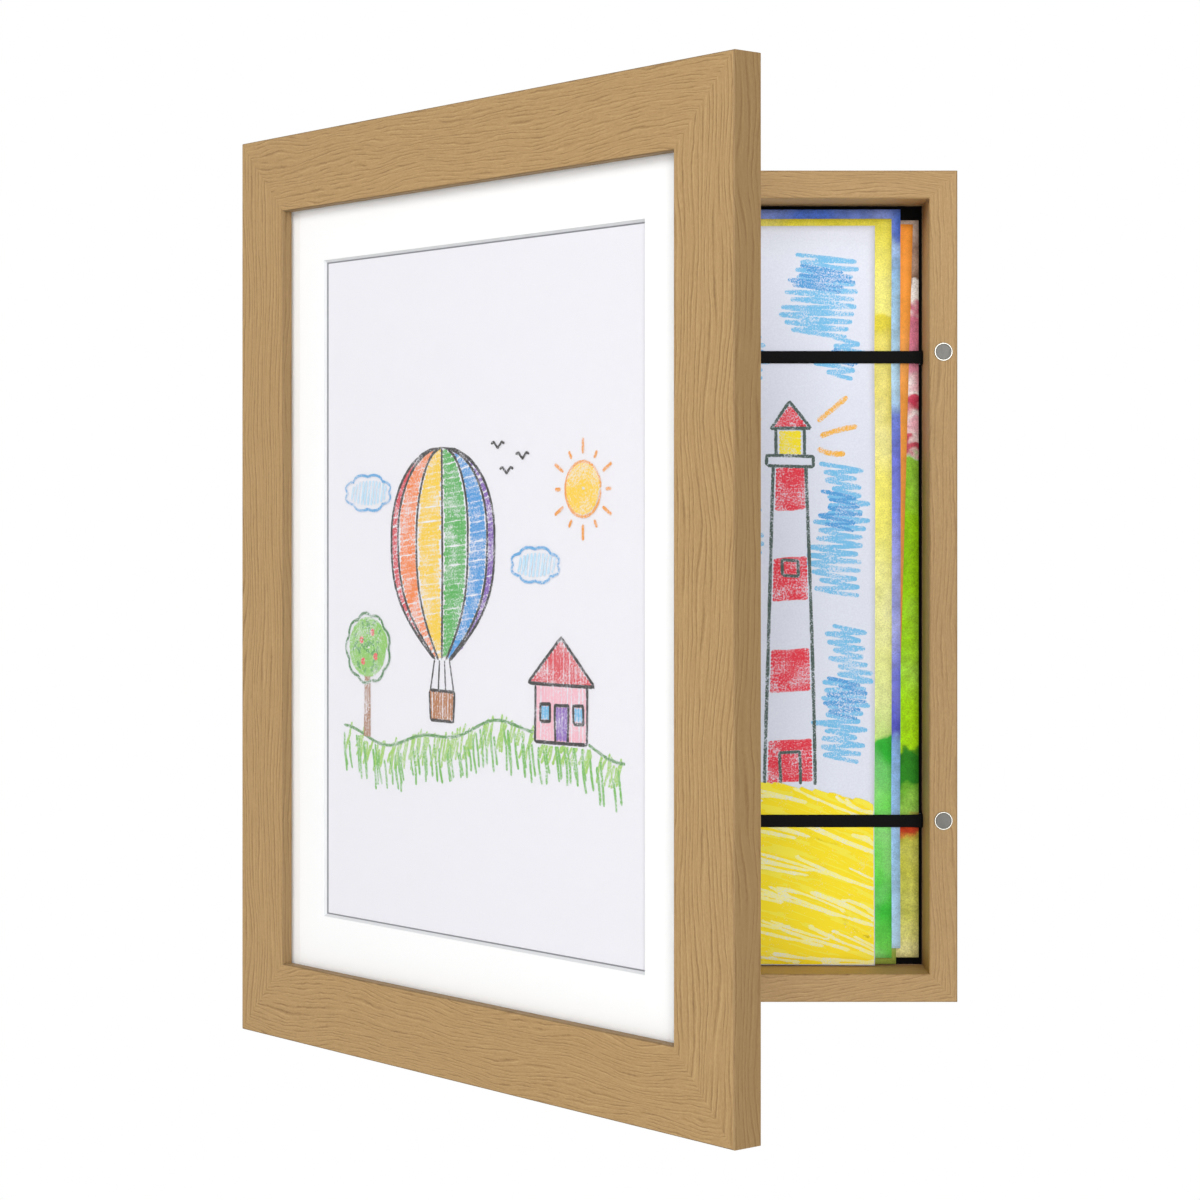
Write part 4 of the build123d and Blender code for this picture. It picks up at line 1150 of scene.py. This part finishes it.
band_edges = np.linspace(tower_foot, tower_top, 8)
for band_foot, band_top in zip(band_edges[0:7:2], band_edges[1:8:2]):
    v = np.arange(band_foot + 1.2, band_top - 0.6, 1.55)
    stored.append((hatched(tower_u, tower_half(v) - 0.8, v, 0.9), 1.9, RED))
for end in (-1, 1):
    edge = passes([(tower_u + end * foot_half, tower_foot)], [(tower_u + end * top_half, tower_top)], 0.6, 80)
    stored.append((wobbled(edge, 0.25), 1.4, SLATE))
stored.append((hatched(tower_u, 4.4, np.arange(57.4, 66.5, 1.6)), 1.8, YELLOW))
roof_rows = np.arange(68, 77, 1.5)
stored.append((hatched(tower_u, (78 - roof_rows) * 8 / 11 - 0.8, roof_rows), 1.8, RED))
tower_lines = [
    [(61.5, 52), (80.5, 52), (80.5, 56), (61.5, 56), (61.5, 52)],
    [(65.5, 56), (65.5, 67), (76.5, 67), (76.5, 56)],
    [(63, 67), (71, 78), (79, 67), (63, 67)],
    [(68, 8), (68, 14), (74, 14), (74, 8), (68, 8)],
    [(67, -76), (67, -63), (75, -63), (75, -76)],
]
for line in tower_lines:
    stored.append((wobbled(bent_line(line, 70), 0.25), 1.3, SLATE))
beam_starts = [(59, 70), (58, 63), (59, 59), (82, 70), (83, 64), (82, 59)]
beam_ends = [(48, 82), (43, 68), (47, 56), (94, 80), (98, 68), (93, 57)]
stored.append((passes(beam_starts, beam_ends, 1.0), 2.2, "F4B53A"))
print("Strokes with the lighthouse:", sum(len(lines) for lines, width, colour in stored))

# %% Sand and boat
sheet_right, sheet_foot = 105.5, -147.2


def sand(u):
    """The sand hill's top: a slow cosine that is highest left of the tower."""
    return -90.0 + 16.0 * np.cos((u - 52.0) / 46.0)


for colour, step, width, span in (
    (SAND_PALE, 2.3, 3.2, 44.0),
    (SAND, 3.0, 3.4, 30.0),
    ("F8F08C", 13.5, 1.8, 44.0),
):
    u0, rows = [part.ravel() for part in np.meshgrid(np.arange(-104, 100, 7.5), np.arange(0, 78, step))]
    u0 = u0 + chance.uniform(-6, 6, len(u0))
    u1 = np.minimum(u0 + span * chance.uniform(0.5, 1.0, len(u0)), sheet_right)
    v0 = np.maximum(sand(u0) - rows - 2, sheet_foot)
    v1 = np.maximum(sand(u1) - rows - 2 - 0.16 * (u1 - u0), sheet_foot)
    keep = (u1 - u0 > 5) & (v0 > sheet_foot + 0.1) & (u0 > -103.5)
    if step > 2.5:
        keep &= chance.uniform(0, 1, len(u0)) < 0.7
    stored.append((passes(joined(u0, v0)[keep], joined(u1, v1)[keep], 1.2, 10), width, colour))

hull = [(-64, -34), (-56, -48), (-22, -48), (-12, -34), (-64, -34)]
hull_rows = np.arange(-46.5, -34.8, 1.7)
stored.append((hatched(-38.5, np.interp(hull_rows, [-48, -34], [17, 25]), hull_rows, 0.3), 2.0, RED))
stored.append((wobbled(bent_line(hull, 90), 0.3), 1.5, SLATE))
sails = {"F08A3C": [(-38, -30), (-38, 24), (-12, -28)], "F2CF3A": [(-42, -30), (-42, 14), (-62, -28)]}
for colour, sail in sails.items():
    (mast, foot), (_, peak), (clew, _) = sail
    rows = np.arange(foot + 2, peak - 4, 1.9)
    reach = clew + (mast - clew) * (rows - foot) / (peak - foot)
    stored.append((zigzag(joined(mast, rows), joined(reach, rows)), 1.8, colour))
    stored.append((wobbled(bent_line(sail + sail[:1], 90), 0.3), 1.5, SLATE))
print("Strokes in the stored drawing:", sum(len(lines) for lines, width, colour in stored))

# %% The stored drawing on its sheet
edge_margin = 0.4 * MM
paper_half = sheet_frames[1][3] - edge_margin


def on_front_sheet(u, v, height):
    """Points on the front stored sheet, with strokes that would leave it held just inside its edge."""
    u, v = (np.clip(place, -half, half) for place, half in zip((u, v), paper_half))
    return on_sheet(1, u, v, height)


drawing("stored_drawing", stored, on_front_sheet, "box", "crayon_paper", stored_wax)

# %% [markdown]
# ## Elastic straps
#
# Each strap is flat braided elastic, 5 mm wide: a black band with fine ribs along it. It lies across the
# sheets, turns at the side walls, runs back along them through the board, and turns again on to the rear
# rim. The path is drawn in plan with rounded corners, and a ribbed section is carried along it.

# %% Path and section of a strap
strap_gauge = 0.8 * MM
bend_radius = 0.6 * MM
rib_count, rib_depth = 7, 0.13
section_steps, corner_steps, run_steps = 84, 7, 60
slack_share, slack_start = 0.11, 2 * MM


def rounded_path(corner_points, radius, steps):
    """A path through points with each inner corner replaced by an arc that touches both of its runs."""
    corner_points = np.array(corner_points, float)
    path = [corner_points[0]]
    for before, corner, after in zip(corner_points, corner_points[1:], corner_points[2:]):
        back = (before - corner) / np.linalg.norm(before - corner)
        on = (after - corner) / np.linalg.norm(after - corner)
        half_angle = np.arccos(np.clip(back @ on, -1, 1)) / 2
        middle = corner + (back + on) / np.linalg.norm(back + on) * radius / np.sin(half_angle)
        start, end = (corner + way * radius / np.tan(half_angle) - middle for way in (back, on))
        t = np.linspace(0, 1, steps)[:, None] * (np.pi - 2 * half_angle)
        arc = (start * np.sin(np.pi - 2 * half_angle - t) + end * np.sin(t)) / np.sin(2 * half_angle)
        path += list(middle + arc)
    return np.array(path + [corner_points[-1]])


def strap_points(name):
    """Braid surface: across the path, thickness is a flat oval less a rib pattern, |cos| of the width.
    Stretched elastic is narrower than slack elastic, so the band is a little wider beyond the walls."""
    low, high = (np.array(corner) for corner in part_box(name))
    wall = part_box("box_right_wall")[0].x - strap_gauge / 2
    front, rim = low[1] + strap_gauge / 2, high[1] - strap_gauge / 2
    route = [(low[0], rim), (-wall, rim), (-wall, front), (wall, front), (wall, rim), (high[0], rim)]
    path = rounded_path(route, bend_radius, corner_steps)
    middle = len(path) // 2
    long_run = np.linspace(path[middle - 1], path[middle], run_steps)[1:-1]
    path = np.concatenate([path[:middle], long_run, path[middle:]])
    a = np.linspace(0, 2 * np.pi, section_steps, endpoint=False)
    across = np.sign(np.cos(a)) * np.abs(np.cos(a)) ** 0.7
    rib = 1 - rib_depth * (1 - np.abs(np.cos(rib_count * np.pi / 2 * (across + 1) + np.pi / 2)))
    thick = strap_gauge / 2 * np.sign(np.sin(a)) * np.abs(np.sin(a)) ** 0.35 * rib
    outward = -sideways(np.gradient(path, axis=0))
    x, y = (path[:, None, k] + outward[:, None, k] * thick for k in (0, 1))
    slack = np.clip((np.abs(path[:, :1]) - wall) / slack_start + 1, 0, 1)
    half_width = (high[2] - low[2]) / 2 * (1 + slack_share * slack)
    return joined(x, y, (low[2] + high[2]) / 2 + across * half_width)


# %% Braided elastic
# Rubber cores wound with textured yarn: dull black, each yarn a short lump in the braid. Next comes how
# many lumps there are to a millimetre along the band, and how many across its width.
yarns_along, yarns_across = 2.2 / MM, 1.4 / MM
elastic, tree, shader = blank_material("black_braided_elastic", Roughness=0.75, Specular_IOR_Level=0.10)
where = add(tree, "TexCoord").outputs["Object"]
yarns = add(tree, "Mapping", {"Vector": where, "Scale": (yarns_along, yarns_along, yarns_across)})
braid = add(tree, "TexVoronoi", {"Vector": yarns, "Scale": 1.0})
shade = set_ramp(add(tree, "ValToRGB", {0: braid}), [(0.1, "0D0D0D"), (0.8, "050505")])
bump = add(tree, "Bump", {"Height": braid, "Distance": 0.1 * MM, "Strength": 0.5}, invert=True)
feed(shader, {"Base Color": shade, "Normal": bump})
for name in ("upper_strap", "lower_strap"):
    points = strap_points(name)
    rows, columns = points.shape[:2]
    faces = grid_faces(rows, columns, wrap_columns=True)[:, ::-1].tolist()
    faces += [list(reversed(range(columns))), list(range((rows - 1) * columns, rows * columns))]
    strap = finished(f"elastic_{name}", points, faces, "box", "elastic", elastic)
    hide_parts(name)

# %% [markdown]
# ## Felt pads
#
# Four felt discs keep the box off the wall. Felt is cut from a thick sheet, so its edge is fuzzy and
# slightly rounded, and its face isn't quite flat. Each disc is a profile turned round its middle, with
# noise from sums of sines in both directions.

# %% Profile of a pad, turned
pad_radius = 5.0 * MM
pad_low, pad_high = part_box("wall_pads")
turn_steps, profile_steps = 72, 26
disc_size = turn_steps * profile_steps
a = np.linspace(0, 2 * np.pi, turn_steps, endpoint=False)[:, None]
t = np.linspace(0, np.pi, profile_steps)[None, :]
# The profile runs from the middle of the front, at t = 0, over the rounded rim to the back, at t = pi.
reach = np.sign(np.sin(t)) * np.abs(np.sin(t)) ** 0.42
reach[:, [0, -1]] = 0.02
deep = np.sign(np.cos(t)) * np.abs(np.cos(t)) ** 0.25
fuzz = 1 - (0.02 * (1 + np.sin(17 * a + 5 * t)) + 0.012 * (1 + np.sin(41 * a - 9 * t))) * np.sin(t)
radius = pad_radius * reach * fuzz
y = (pad_low.y + pad_high.y) / 2 - (pad_high.y - pad_low.y) / 2 * deep
disc_faces = grid_faces(turn_steps, profile_steps, wrap_rows=True)[:, ::-1]
pad_points, pad_faces = [], []
for x in (pad_low.x + pad_radius, pad_high.x - pad_radius):
    for z in (pad_low.z + pad_radius, pad_high.z - pad_radius):
        start = len(pad_points) * disc_size
        pad_points.append(joined(x + radius * np.cos(a), y, z + radius * np.sin(a)).reshape(-1, 3))
        pad_faces += (disc_faces + start).tolist()
        pad_faces.append(list(range(start, start + disc_size, profile_steps)))
        pad_faces.append(list(range(start + disc_size - 1, start, -profile_steps)))
print("Pads:", len(pad_points), "discs,", round((pad_high.y - pad_low.y) / MM, 1), "mm thick")

# %% Felt
# Pressed wool: charcoal, quite matt, with a pale sheen where loose fibres at the rim catch the light.
# The fibres are finer than these spots, which are drawn as coarse as they need to show.
wool_spot = 0.625 * MM
felt, tree, shader = blank_material("pressed_wool_felt", Roughness=0.95, Sheen_Weight=0.4)
where = add(tree, "TexCoord").outputs["Object"]
wool = add(tree, "TexNoise", {"Vector": where, "Scale": 1 / wool_spot, "Detail": 4.0, "Roughness": 0.7})
shade = set_ramp(add(tree, "ValToRGB", {0: wool}), [(0.3, "3A3B3D"), (0.7, "606164")])
bump = add(tree, "Bump", {"Height": wool, "Distance": 0.3 * MM, "Strength": 0.9})
feed(shader, {"Base Color": shade, "Normal": bump})
pads = finished("felt_pads", np.concatenate(pad_points), pad_faces, "box", "felt", felt)
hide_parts("wall_pads")

# %% [markdown]
# ## The end
#

import json
